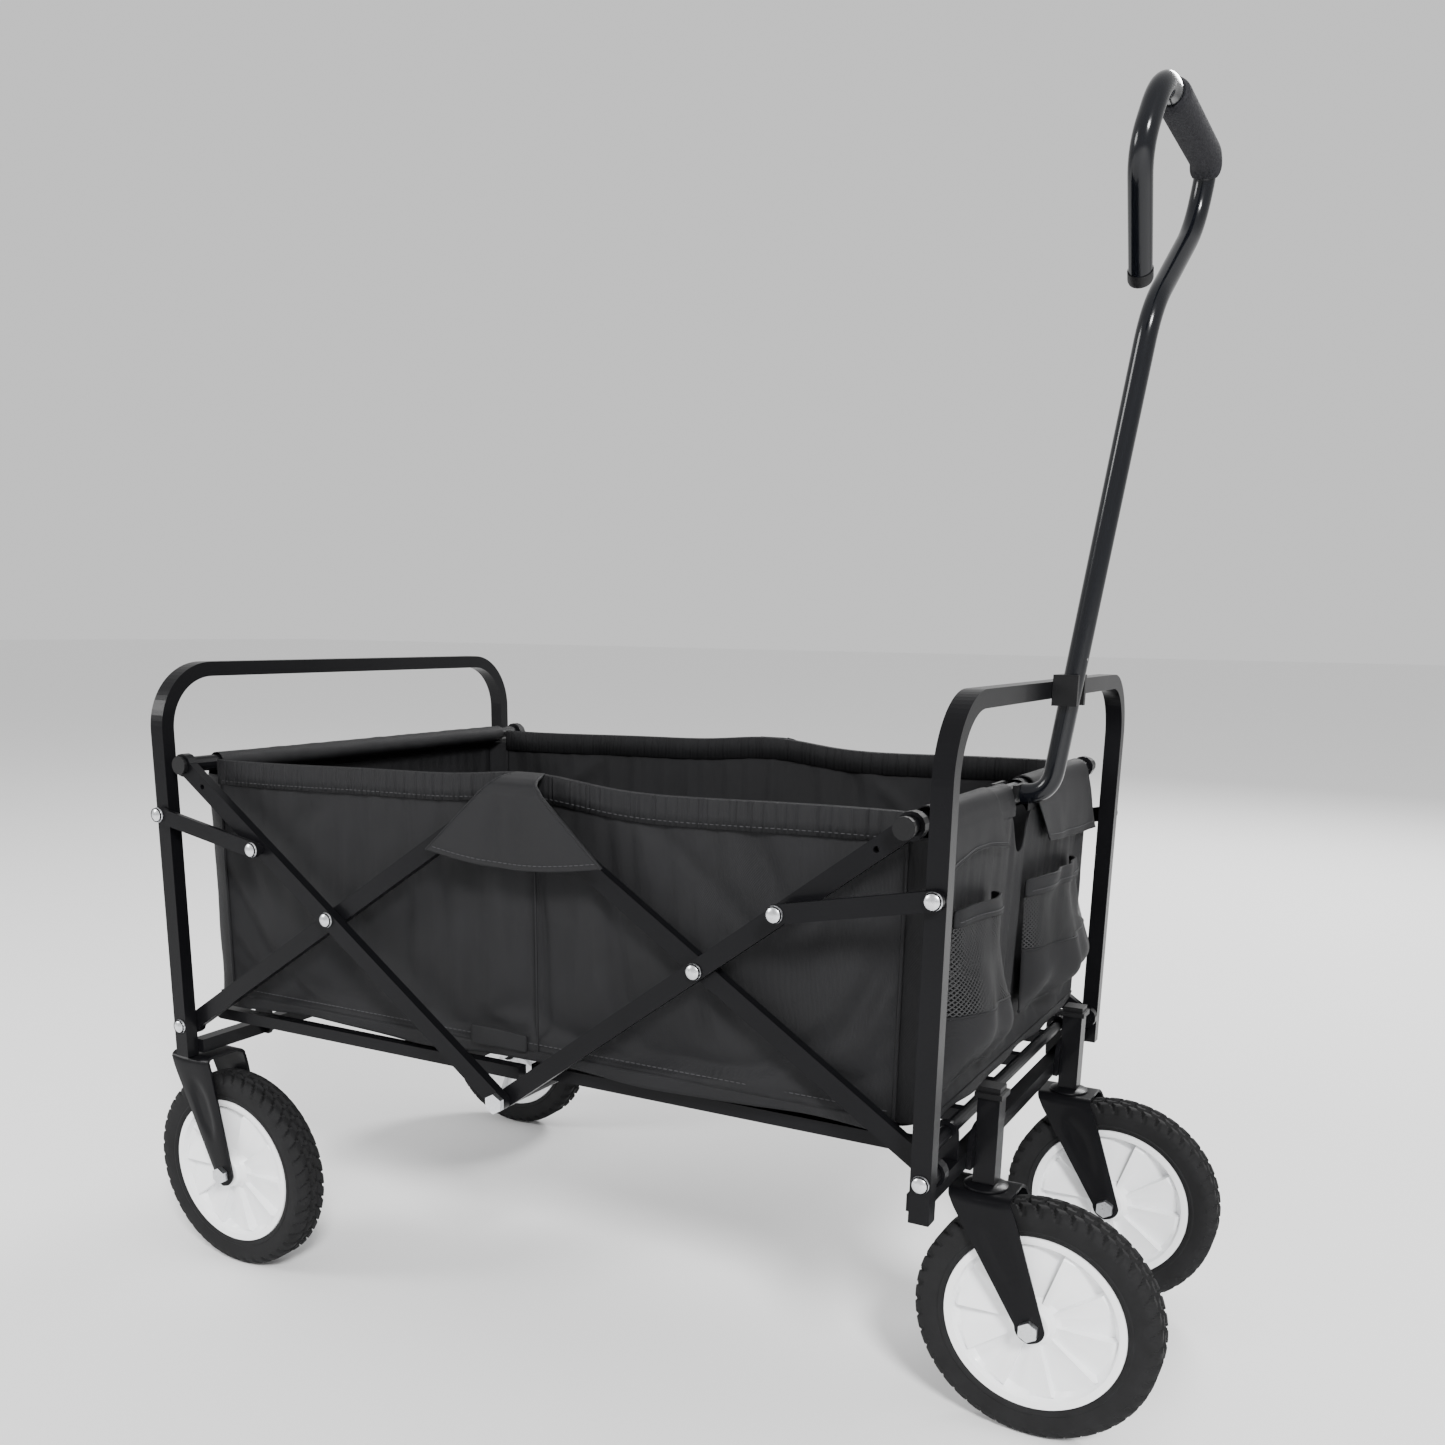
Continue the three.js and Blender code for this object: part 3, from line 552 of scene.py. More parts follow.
# %% [markdown]
# A fork is one strip of sheet steel, bent down on both sides of the wheel. Its cheeks taper to a
# round tip at the axle, and an oval is pressed into each to stiffen it. The strip is a grid: one
# way runs down a cheek, over the rolled top and down the other, and the other way runs across.
# %% Forks
FORK_HALF = 22.5 * MM
FORK_SHEET = 2.5 * MM
FORK_ROLL = 8 * MM
FORK_TIP = 11 * MM
PRESS_DEPTH = 1.3 * MM
EDGE_ROLL = 1.0 * MM
BEARING_TOP = 185 * MM
CUP = [15.5, 16.2, 15.8, 13.5, 9.0]


def fork_path(top):
    cheek = [(FORK_HALF, -FORK_TIP * math.cos(math.radians(a))) for a in range(0, 90, 10)]
    cheek += [(FORK_HALF, (top - FORK_ROLL) * i / 24) for i in range(25)]
    for i in range(1, 7):
        turn = i / 6 * math.pi / 2
        reach = FORK_HALF - FORK_ROLL + FORK_ROLL * math.cos(turn)
        cheek.append((reach, top - FORK_ROLL + FORK_ROLL * math.sin(turn)))
    across = [(FORK_HALF - FORK_ROLL) * (1 - i / 4) for i in range(1, 5)]
    cheek += [(y, top) for y in across]
    return cheek + [(-y, z) for y, z in reversed(cheek[:-1])]


def fork(name, centre, top_x, top, body, node):
    columns = 13
    points = []
    path = fork_path(top)
    for y, z in path:
        share = max(z, 0) / top
        half = FORK_TIP + (FORK_HALF - FORK_TIP) * min(1, share * 1.15)
        if z < 0:
            half = math.sqrt(max(FORK_TIP**2 - z**2, (0.4 * MM) ** 2))
        for j in range(columns):
            across = 2 * j / (columns - 1) - 1
            x = top_x * share + half * across
            oval = 1 - (across / 0.5) ** 2 - ((share - 0.55) / 0.26) ** 2
            pulled_in = 0
            if abs(y) > FORK_HALF - MM:
                press = PRESS_DEPTH * min(1, max(0, 2.2 * oval))
                pulled_in = math.copysign(press + EDGE_ROLL * abs(across) ** 4, y)
            points.append(centre + Vector((x, y - pulled_in, z)))
    faces = grid_faces(len(path), columns)
    piece = make(name, points, faces, body, "black_steel", [node], angle=50)
    thicken(piece, FORK_SHEET, -1.0)
    round_edges(piece, 0.5 * MM)


for side_name, side in SIDES.items():
    swivel = joint_at[f"{side_name}_caster_swivel"]
    centre = joint_at[f"front_{side_name}_spin"]
    node = f"front_{side_name}_fork"
    top = BEARING_TOP - 4 * MM - centre.z
    body = f"{side_name}_caster"
    fork(f"front_{side_name}_stamped_fork", centre, swivel.x - centre.x, top, body, node)
    rises = [i / (len(CUP) - 1) for i in range(len(CUP))]
    path = [(swivel.x, centre.y, BEARING_TOP - 4.4 * MM + 4.2 * MM * rise) for rise in rises]
    sweep(
        f"{side_name}_swivel_bearing", path, lambda share: CUP[round(share * 4)] * MM, body,
        "black_steel", sides=32,
    )
    centre = joint_at[f"rear_{side_name}_spin"]
    leg_x = joint_at["fold"].x
    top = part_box(f"rear_{side_name}_fork")[1].z - centre.z
    node = f"rear_{side_name}_fork"
    fork(f"rear_{side_name}_stamped_fork", centre, leg_x - centre.x, top, "rear_end", node)
tell("forks and bearings")

# %% [markdown]
# The handle is one tube bent into a long shaft and an open loop. Straight runs join through
# rounded corners, as a bending machine leaves them. The foam grip follows the tube round its far
# corner, and a plastic plug closes the free end.
# %% Handle
LEAN = math.radians(7.6)
HANDLE_RADIUS = 7.5 * MM
handle_y = (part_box("handle_clip")[0].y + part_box("handle_clip")[1].y) / 2
bar_z = (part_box("handle_clip")[0].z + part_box("handle_clip")[1].z) / 2
bar_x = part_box("handle_clip")[0].x + 10.7 * MM
saddle = joint_at["handle_swing"]


def on_handle(y, height):
    rise = (height - 15) * MM
    return Vector((bar_x, y * MM, bar_z)) + rise * Vector((math.sin(LEAN), 0, math.cos(LEAN)))


def rounded(start, corners, end, step=3 * MM, bend_steps=12):
    path = [start]
    here = start
    for i, (corner, bend) in enumerate(corners):
        following = corners[i + 1][0] if i + 1 < len(corners) else end
        into = corner + (here - corner).normalized() * bend
        out = corner + (following - corner).normalized() * bend
        runs = max(1, round((into - here).length / step))
        path += [here.lerp(into, k / runs) for k in range(1, runs + 1)]
        for k in range(1, bend_steps + 1):
            share = k / bend_steps
            path.append(into.lerp(corner, share).lerp(corner.lerp(out, share), share))
        here = out
    runs = max(1, round((end - here).length / step))
    return path + [here.lerp(end, k / runs) for k in range(1, runs + 1)]


knee_y, top_height, knee_height = 62, 377, 335
handle_mm = handle_y / MM
foot_x = bar_x - (bar_z - saddle.z) * math.tan(LEAN)
foot_corner = Vector((foot_x, handle_y, saddle.z))
handle_path = rounded(
    Vector((saddle.x + 10.3 * MM, handle_y, saddle.z)),
    [
        (foot_corner, 19 * MM),
        (on_handle(handle_mm, 270), 22 * MM),
        (on_handle(knee_y, knee_height), 20 * MM),
        (on_handle(knee_y, top_height), 18 * MM),
        (on_handle(-106, top_height), 20 * MM),
        (on_handle(-124, knee_height), 18 * MM),
    ],
    on_handle(-60, 278),
)
sweep(
    "bent_handle_tube", handle_path, HANDLE_RADIUS, "handle", "gloss_black_steel", 24,
    replaces=["handle_tube"],
)
PLUG_STEPS = (-6, 0, 2, 3)
PLUG_RADII = (8.1, 8.1, 7.4, 4.5)
tip = handle_path[-1]
outward = (tip - handle_path[-2]).normalized()
plug_path = [tip + outward * step * MM for step in PLUG_STEPS]
sweep(
    "handle_end_plug", plug_path, lambda share: PLUG_RADII[round(share * 3)] * MM, "handle",
    "black_plastic", 24,
)


def nearest_on_handle(place):
    return min(range(len(handle_path)), key=lambda i: (handle_path[i] - place).length)


grip_start = nearest_on_handle(on_handle(knee_y, 366))
grip_end = nearest_on_handle(on_handle(-78, top_height))
grip_path = handle_path[grip_start : grip_end + 1]


def grip_radius(share):
    end = min(share, 1 - share) * len(grip_path) * 2.4
    return (8.4 + 2.2 * min(1, end / 6) ** 0.5) * MM


sweep("foam_grip", grip_path, grip_radius, "handle", "foam", 32, replaces=["handle_grip"])
tell("handle pieces")

# %% [markdown]
# The tub is sewn from flat cloth. A patch is a grid of points from a small function of two shares,
# across and up. The grid alone is the flat patch, and building it up adds the smoothing and the
# thickness. Its cut size is measured on the grid, because every sheet says what it was cut to.
# %% Cloth patches
WALL_THICKNESS = 0.9 * MM
CUT_ALLOWANCE = 1.002


def at(x, y, z):
    return Vector((middle_x + x * MM, y * MM, z * MM))


def between(low, high, share):
    return low + (high - low) * share


def cloth_grid(point, cells):
    return [
        [Vector(point(i / cells[0], j / cells[1])) for i in range(cells[0] + 1)]
        for j in range(cells[1] + 1)
    ]


def longest(lines):
    return max(sum((b - a).length for a, b in zip(line, line[1:])) for line in lines)


def cut_area(grid):
    total = 0
    for low, high in zip(grid, grid[1:]):
        for a, b, c, d in zip(low, low[1:], high[1:], high):
            total += ((c - a).cross(d - b)).length / 2
    return total


def flat_patch(name, point, cells, body, **extra):
    grid = cloth_grid(point, cells)
    points = [p for row in grid for p in row]
    piece = make(name, points, grid_faces(cells[1] + 1, cells[0] + 1), body, "fabric", **extra)
    piece["cut"] = (longest(grid), longest(zip(*grid)), cut_area(grid))
    return piece


def build_up(piece, smooth, thickness):
    if smooth:
        rounding = piece.modifiers.new("smooth", "SUBSURF")
        rounding.levels = rounding.render_levels = smooth
    return thicken(piece, thickness)


def patch(name, point, cells, body, smooth=1, thickness=WALL_THICKNESS, **extra):
    return build_up(flat_patch(name, point, cells, body, **extra), smooth, thickness)


def declare(piece):
    width, length, area = piece["cut"]
    size = (width * CUT_ALLOWANCE, length * CUT_ALLOWANCE)
    share = min(area, size[0] * size[1])
    print(piece.name, "cut", [round(v / MM) for v in size])


print("the cloth is", round(WALL_THICKNESS / MM, 1), "mm thick")

# %% [markdown]
# Seams show as rows of short stitches and as piping, a cord sewn into the join. A stitch is a tiny
# four-sided bar, tilted a little off the cloth at its ends, and one mesh holds a whole row.
# %% Stitches and piping
STITCH_PITCH = 4.6 * MM
STITCH_LENGTH = 3.0 * MM
STITCH_WIDTH = 0.32 * MM
STITCH_RISE = 0.35 * MM
STITCH_SINK = 0.05 * MM


def stitches(name, path, outward, body):
    path = [Vector(p) for p in path]
    outward = Vector(outward).normalized()
    points, faces = [], []
    travelled, due = 0.0, STITCH_PITCH / 2
    for a, b in zip(path, path[1:]):
        run = (b - a).length
        while run > 0 and travelled + run > due:
            middle = a.lerp(b, (due - travelled) / run)
            along = (b - a).normalized()
            across = along.cross(outward).normalized()
            start = len(points)
            for end in (-1, 0, 1):
                lift = outward * (STITCH_RISE if end == 0 else STITCH_SINK)
                centre = middle + along * end * STITCH_LENGTH / 2 + lift
                for step in (across, outward, -across, -outward):
                    points.append(centre + step * STITCH_WIDTH)
            for low in (start, start + 4):
                for k in range(4):
                    after = (k + 1) % 4
                    faces.append((low + k, low + after, low + 4 + after, low + 4 + k))
            faces += [tuple(range(start, start + 4)), tuple(range(start + 8, start + 12))]
            due += STITCH_PITCH
        travelled += run
    return make(name, points, faces, body, "fabric", paint="thread")


def piping(name, path, body, radius=1.3 * MM):
    return sweep(name, path, radius, body, "fabric", 8)


print("stitches every", round(STITCH_PITCH / MM, 1), "mm")

# %% [markdown]
# The walls are cut a little larger than their gap, so they settle into soft buckles. The cloth
# solver finds these. Only its movement across the wall is kept, and the outward side is limited,
# because the crossed arms lie close outside. Long folds from pulled corners are added as listed.
# %% Settled walls
SETTLING_FRAMES = 18
SLACK = 0.02
MOST_INWARD = 9.0
MOST_PROUD = 3.2


def fold_depth(x, z, folds):
    total = 0.0
    for fold_x, fold_z, turn, length, width, depth in folds:
        cosine, sine = math.cos(math.radians(turn)), math.sin(math.radians(turn))
        along = ((x - fold_x) * cosine + (z - fold_z) * sine) / length
        across = (-(x - fold_x) * sine + (z - fold_z) * cosine) / width
        total += depth * math.exp(-(along**2) - across**2)
    return total


def settle(piece, cells, slack, outward, most_out, most_in):
    columns, rows = cells[0] + 1, cells[1] + 1
    data = piece.data
    rest = np.array([v.co for v in data.vertices])
    held = piece.vertex_groups.new(name="held")
    for j in range(rows):
        for i in range(columns):
            if i in (0, columns - 1) or j in (0, rows - 1):
                held.add([j * columns + i], 1.0, "REPLACE")
    cloth = piece.modifiers.new("cloth", "CLOTH")
    cloth.settings.vertex_group_mass = "held"
    cloth.settings.quality = 5
    cloth.settings.mass = 0.25
    cloth.settings.tension_stiffness = 12
    cloth.settings.compression_stiffness = 12
    cloth.settings.shear_stiffness = 6
    cloth.settings.bending_stiffness = 0.4
    cloth.settings.shrink_min = -slack
    cloth.collision_settings.use_collision = False
    scene = bpy.context.scene
    for step in range(1, SETTLING_FRAMES + 1):
        scene.frame_set(step)
    solved = piece.evaluated_get(bpy.context.evaluated_depsgraph_get()).data
    moved = np.array([v.co for v in solved.vertices])
    piece.modifiers.remove(cloth)
    scene.frame_set(1)
    direction = np.array(outward, float)
    distance = (moved - rest) @ direction
    limited = np.where(distance > 0, most_out * np.tanh(distance / most_out),
                       most_in * np.tanh(distance / most_in))
    settled = rest + np.outer(limited, direction)
    data.vertices.foreach_set("co", settled.astype(np.float32).ravel())
    print(piece.name, "settled by mm", np.round(np.abs(limited).max() / MM, 1))
    data.update()
    piece.vertex_groups.clear()


def wall(name, point, cells, body, outward, folds, out=1.6, **extra):
    def pushed(u, v):
        place = Vector(point(u, v))
        share = 1 - max(abs(2 * u - 1), abs(2 * v - 1)) ** 6
        run = ((place.x - middle_x) if outward[1] else place.y) / MM
        push = fold_depth(run, place.z / MM, folds)
        push += noise.noise(place * 15) * 2.2 + noise.noise(place * 45) * 0.7 - 0.8
        return place + Vector(outward) * min(push * share, MOST_PROUD) * MM

    piece = flat_patch(name, pushed, cells, body, **extra)
    settle(piece, cells, SLACK, outward, out * MM, MOST_INWARD * MM)
    return build_up(piece, 1, WALL_THICKNESS)


print("the solver settles each wall over", SETTLING_FRAMES, "frames")

# %% [markdown]
# The two long walls hang from the end rails and from the middle pivot, where the cloth peaks. A
# seam runs down the middle of each, with a pleat beside it. Each wall and its trim get a mesh of
# their own.
# %% Long walls
SIDE_Y = 202.5
END_X = 327.5
LONG_HALF = 308
BOTTOM = 248
SEAM_X = 17
SIDE_FOLDS = [
    (-14, 330, 90, 75, 13, 3.6), (SEAM_X, 330, 90, 85, 6, -5.0), (45, 300, 78, 60, 16, 2.2),
    (150, 405, -38, 75, 10, -5.5), (120, 418, -30, 60, 7, 3.0), (205, 415, -62, 45, 9, -4.5),
    (255, 400, 70, 60, 9, -4.0), (285, 330, 82, 70, 7, -5.0), (240, 285, 55, 50, 11, 3.0),
    (-230, 400, 35, 70, 11, -4.5), (-150, 420, 22, 60, 8, 2.8), (-275, 330, 96, 70, 8, -5.0),
    (-205, 290, 120, 50, 11, 3.0), (-90, 300, 60, 55, 16, -4.0), (100, 290, 120, 55, 14, -4.0),
]


def crumple(*pieces):
    for piece in pieces:
        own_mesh(piece)


def hem_z(x):
    return 454 + 8 * math.exp(-(((x - 18) / 60) ** 2)) - 1.5 * math.sin(x / 60)


def hem_point(side):
    loop = [
        (1.6, -19), (1.7, -10), (1.7, -2), (1.1, 0.8), (0, 1.6), (-1.1, 0.8), (-1.7, -2), (-1.6, -19),
    ]

    def point(u, v):
        x = between(-LONG_HALF, LONG_HALF, u)
        out, up = loop[round(v * (len(loop) - 1))]
        gather = 0.9 * math.sin(x * 0.75 + 2.0 * noise.noise(Vector((x * 0.05, side, 0))))
        gather += 0.5 * noise.noise(Vector((x * 0.09, 3, v * 2)))
        puckered = out + math.copysign(gather, out) if abs(out) > 1 else out
        return at(x, side * (SIDE_Y + puckered), hem_z(x) + up)

    return point


for side_name, side in SIDES.items():
    long_wall = wall(
        f"{side_name}_tub_wall",
        lambda u, v: at(
            between(-LONG_HALF, LONG_HALF, u), side * SIDE_Y,
            between(BOTTOM, hem_z(between(-LONG_HALF, LONG_HALF, u)), v),
        ),
        (110, 40), "rear_end", (0, side, 0), SIDE_FOLDS, replaces=[f"tub_{side_name}_side"],
    )
    hem = patch(f"{side_name}_hem", hem_point(side), (360, 7), "rear_end", 0, 0.5 * MM)
    hem_line = [at(x, side * (SIDE_Y + 2.3), hem_z(x) - 16) for x in range(-304, 305, 4)]
    hem_row = stitches(f"{side_name}_hem_stitches", hem_line, (0, side, 0), "rear_end")
    seam_line = [at(SEAM_X, side * (SIDE_Y + 0.2), z) for z in range(BOTTOM, 440, 6)]
    seam = piping(f"{side_name}_middle_seam", seam_line, "rear_end", 0.9 * MM)
    edge_line = [at(x, side * (SIDE_Y + 0.9), BOTTOM + 7) for x in range(-304, 305, 4)]
    edge_row = stitches(f"{side_name}_bottom_stitches", edge_line, (0, side, 0), "rear_end")
    skirt = patch(
        f"{side_name}_skirt",
        lambda u, v: at(
            between(-LONG_HALF, LONG_HALF, u),
            side * (SIDE_Y + 1.2 * math.sin(u * 40) * (1 - v) - 1.5 * (1 - v)),
            between(238.5 + 2.2 * math.sin(u * 17 + side), BOTTOM + 1, v),
        ),
        (120, 4), "rear_end", 0,
    )
    long_trim = [hem, hem_row, seam, edge_row, skirt]
    mender = patch(
        f"{side_name}_bottom_patch",
        lambda u, v: at(
            between(-46, 8, u), side * (SIDE_Y + 1.6 + 0.5 * math.sin(u * 9)),
            between(247, 263 - 2 * u, v),
        ),
        (12, 5), "rear_end",
    )
    long_trim.append(mender)
    declare(long_wall)
    crumple(long_wall, *long_trim)
tell("long walls and their trim")

# %% [markdown]
# Over each middle pivot a fan-shaped flap hides the joint from fingers. It starts at the hem, goes
# over the ends of the two arms and hangs outside them, with a stitched lower edge and piped sides.
# %% Side flaps
FLAP_OUT = [
    (0.0, 203.5, 463), (0.1, 210, 462), (0.2, 219, 460), (0.27, 226.5, 456.5), (0.33, 229.7, 450),
]
FLAP_FOLDS = [(36, 60, 84, 45, 6, -2.6), (52, 65, 99, 40, 5, -2.0)]


def flap_point(side):
    def point(u, v):
        down = 1 - v
        lower = 403 - 8 * math.sin(math.pi * u)
        y, z = 229.7, between(450, lower, (down - 0.33) / 0.67)
        for (a, y1, z1), (b, y2, z2) in zip(FLAP_OUT, FLAP_OUT[1:]):
            if a <= down <= b:
                share = (down - a) / (b - a)
                y, z = between(y1, y2, share), between(z1, z2, share)
        fan = (463 - z) / (463 - lower)
        x = between(between(2, -63, fan), between(28, 94, fan), u)
        crease = fold_depth(u * 100, fan * 100, FLAP_FOLDS)
        if down > 0.33:
            y += 1.2 * fan + crease * fan + 0.7 * math.sin(u * 9) * fan
        return at(x, side * y, z)

    return point


for side_name, side in SIDES.items():
    point = flap_point(side)
    flap = patch(f"{side_name}_pivot_flap", point, (48, 40), "rear_end", 1, 1.0 * MM)
    lift = Vector((0, side * 0.55 * MM, 0))
    row = [point(i / 60, 0.05) + lift for i in range(1, 60)]
    front_edge, rear_edge = ([point(u, k / 30) for k in range(28)] for u in (1, 0))
    trim = [
        stitches(f"{side_name}_flap_stitches", row, (0, side, 0), "rear_end"),
        piping(f"{side_name}_flap_front_piping", front_edge, "rear_end"),
        piping(f"{side_name}_flap_rear_piping", rear_edge, "rear_end", 0.9 * MM),
    ]
    declare(flap)
    crumple(flap, *trim)
tell("side flaps and their trim")

# %% [markdown]
# The short walls hang below the end rails, and a curved strip with piping closes each corner. The
# rail runs through a sewn sleeve, a teardrop loop that starts and ends at the top of the wall. The
# front wall dips under the saddle, to leave room for the handle as it swings down.
# %% Short walls, corners and sleeves
END_FOLDS = [
    (-10, 380, 96, 60, 9, 2.5), (20, 330, 80, 80, 10, -5.0), (-185, 340, 92, 80, 9, -4.0),
    (185, 350, 88, 80, 9, -4.0), (-120, 265, 20, 60, 9, -4.0), (120, 262, -15, 70, 9, -4.0),
]
RAIL_X, RAIL_Z = 317, 451
END_TOP = 437
NOTCH_DEPTH, NOTCH_HALF = 30, 17
SHORT_HALF = 196


def end_top(y, end):
    if end < 0:
        return END_TOP
    return END_TOP - NOTCH_DEPTH * math.exp(-(((y - handle_mm) / NOTCH_HALF) ** 4))


def corner_point(end, side):
    def point(u, v):
        turn = u * math.pi / 2
        pinch = 1.5 * math.sin(math.pi * v) * math.sin(2 * turn)
        pinch += noise.noise(Vector((v * 5, end, side)))
        x = end * (LONG_HALF + 19.5 * math.sin(turn) - pinch)
        return at(x, side * (SHORT_HALF + 6.5 * math.cos(turn) - pinch), between(BOTTOM, 441, v))

    return point


def sleeve(name, start, stop, end, body):
    loop = [(11.0, -15), (10.8, -9), (9.6, -3)]
    for turn in range(10, 211, 20):
        loop.append((8.4 * math.cos(math.radians(turn)), 8.4 * math.sin(math.radians(turn))))
    loop += [(-4, -7.5), (2, -8.8), (7.5, -11), (9.8, -15)]
    steps = max(8, round((stop - start) / 5))
    points = []
    for i in range(steps + 1):
        y = between(start, stop, i / steps)
        for k, (x, z) in enumerate(loop):
            swell = 1 + 0.05 * noise.noise(Vector((y * 0.08, k * 0.5, end)))
            points.append(at(end * (RAIL_X + x * swell), y, RAIL_Z + z * (swell if z > -9 else 1)))
    faces = grid_faces(steps + 1, len(loop), False, True)
    make(name, points, faces, body, "fabric", angle=60)


for end_name, end in ENDS.items():
    body = f"{end_name}_end"
    short_wall = wall(
        f"{end_name}_tub_wall",
        lambda u, v: at(
            end * END_X, between(-SHORT_HALF, SHORT_HALF, u),
            between(BOTTOM, end_top(between(-SHORT_HALF, SHORT_HALF, u), end), v),
        ),
        (72, 36), body, (end, 0, 0), END_FOLDS if end > 0 else END_FOLDS[1:],
        out=1.6 if end > 0 else 3.0, replaces=[f"tub_{end_name}_end"],
    )
    short_trim = []
    for side_name, side in SIDES.items():
        tag = f"{end_name}_{side_name}"
        short_trim.append(patch(f"{tag}_corner", corner_point(end, side), (8, 40), body))
        line = [at(end * 307.6, side * (SIDE_Y + 0.9), z) for z in range(BOTTOM, 442, 6)]
        short_trim.append(piping(f"{tag}_corner_piping", line, body))
    short_trim.append(patch(
        f"{end_name}_skirt",
        lambda u, v: at(
            end * (END_X + 0.3 - 2.0 * (1 - v) + math.sin(u * 29) * (1 - v)),
            between(-200, 200, u), between(239.5 + 2 * math.sin(u * 14), BOTTOM + 1, v),
        ),
        (80, 4), body, 0,
    ))
    declare(short_wall)
    if end < 0:
        crumple(short_wall, *short_trim)
    runs = [(-197, 197)] if end < 0 else [(-197, -30), (4, 197)]
    for i, (start, stop) in enumerate(runs):
        sleeve(f"{end_name}_sleeve_{i + 1}", start, stop, end, f"{end_name}_rail_arms")
tell("short walls, corners and sleeves")

# %% [markdown]
# Two flaps hang over the front rail, one on each side of the handle. Their lower edges droop, and
# the inner edge of the far one is drawn across, as cloth that is not quite square hangs.
# %% Front flaps
OVER_RAIL = 0.35
FRONT_FLAPS = {
    "right": dict(top=(-201, -80), bottom=(-202, -68), lower=(417, 425, 419)),
    "left": dict(top=(17, 186), bottom=(48, 201), lower=(409, 403, 401)),
}


def front_flap_point(shape):
    wrap = [
        (-8.5, -16), (-9.8, -6), (-9.4, 3), (-5.5, 8.6), (0.5, 10.4), (6.5, 8.2), (10.8, 2.5),
        (12.4, -6),
    ]

    def point(u, v):
        down = 1 - v
        low, middle, high = shape["lower"]
        lower = between(low, high, u) + (middle - (low + high) / 2) * math.sin(math.pi * u)
        if down <= OVER_RAIL:
            place = down / OVER_RAIL * (len(wrap) - 1)
            k = min(int(place), len(wrap) - 2)
            x, z = (between(wrap[k][n], wrap[k + 1][n], place - k) for n in (0, 1))
            hang = 0.0
        else:
            hang = (down - OVER_RAIL) / 0.65
            x, z = 12.4 + 3.5 * hang**0.7, between(-6, lower - RAIL_Z, hang)
        left = between(shape["top"][0], shape["bottom"][0], hang)
        right = between(shape["top"][1], shape["bottom"][1], hang)
        y = between(left, right, u)
        wave = (1.6 * math.sin(u * 7 + 1) + 2.0 * noise.noise(Vector((y * 0.03, z * 0.03, 1)))) * hang
        return at(RAIL_X + x + 1.2 + wave, y, RAIL_Z + z)

    return point


for side_name, shape in FRONT_FLAPS.items():
    point = front_flap_point(shape)
    flap = patch(f"{side_name}_front_flap", point, (40, 36), "front_end", 1, 1.0 * MM)
    lift = Vector((0.9 * MM, 0, 0))
    line = [point(i / 50, 0.08) + lift for i in range(1, 50)]
    row = stitches(f"{side_name}_front_flap_stitches", line, (1, 0, 0), "front_end")
    line = [point(i / 40, 0.0) for i in range(41)]
    edge = piping(f"{side_name}_front_flap_edge", line, "front_end", 0.9 * MM)
    declare(flap)
tell("front flaps and their trim")

# %% [markdown]
# Two drink pockets hang on the front wall. The top of each is a doubled band that stands open, the
# middle is net, and the lower part is plain cloth that bags out under its own fullness.
# %% Front pockets
POCKETS = {
    "right": dict(top=(-170, -86), bottom=(-186, -48), levels=(266, 318, 380, 392), deep=27),
    "left": dict(top=(2, 139), bottom=(10, 200), levels=(276, 328, 372, 386), deep=31),
}


def pocket_place(shape, u, z):
    low, high = shape["levels"][0], shape["levels"][3]
    v = (z - low) / (high - low)
    left = between(shape["bottom"][0], shape["top"][0], v**0.8)
    right = between(shape["bottom"][1], shape["top"][1], v**0.8)
    y = between(left, right, u)
    crown = (1 - abs(2 * u - 1) ** 2.6) ** 0.8
    belly = math.sin(min(1, v / 0.34) * math.pi / 2) * (1 - 0.55 * min(1, max(0, v - 0.2) / 0.6))
    out = shape["deep"] * belly * crown
    out += 5.5 * noise.noise(Vector((y * 0.035, z * 0.02, 2))) * crown
    out += 2.4 * math.sin(u * 19 + 4 * v) * crown * (1 - v) ** 2
    return at(END_X + 2.6 + max(0, out), y, z - 7 * (1 - crown) * v * 0.4)


def pocket_part(shape, first, last):
    levels = shape["levels"]
    return lambda u, v: pocket_place(shape, u, between(levels[first], levels[last], v))


for side_name, shape in POCKETS.items():
    bag = patch(f"{side_name}_pocket_bag", pocket_part(shape, 0, 1), (36, 18), "front_end")
    net = patch(
        f"{side_name}_pocket_net", pocket_part(shape, 1, 2), (36, 16), "front_end", 1, 0.4 * MM,
        paint="net",
    )
    lift = Vector((0.5 * MM, 0, 0))
    top = pocket_part(shape, 2, 3)
    band = patch(
        f"{side_name}_pocket_band", lambda u, v: top(u, v) + lift, (36, 5), "front_end", 1, 2 * MM,
    )
    join, base = pocket_part(shape, 1, 1), pocket_part(shape, 0, 0)
    line = [join(i / 40, 0) for i in range(41)]
    tape = piping(f"{side_name}_pocket_tape", line, "front_end", 1.1 * MM)
    line = [base(i / 40, 0) for i in range(41)]
    sole = piping(f"{side_name}_pocket_base", line, "front_end", 1.4 * MM)
    line = [top(i / 40, 0.3) + 4 * lift for i in range(1, 40)]
    row = stitches(f"{side_name}_pocket_stitches", line, (1, 0, 0), "front_end")
    declare(bag)
    declare(net)
tell("pocket pieces")

# %% [markdown]
# The floor is one loose cloth whose edges curl up to the walls, over two stiff boards that are
# wrapped in the same cloth. A board is a rounded slab that lies on the slats of its floor half.
# %% Floor cloth and boards


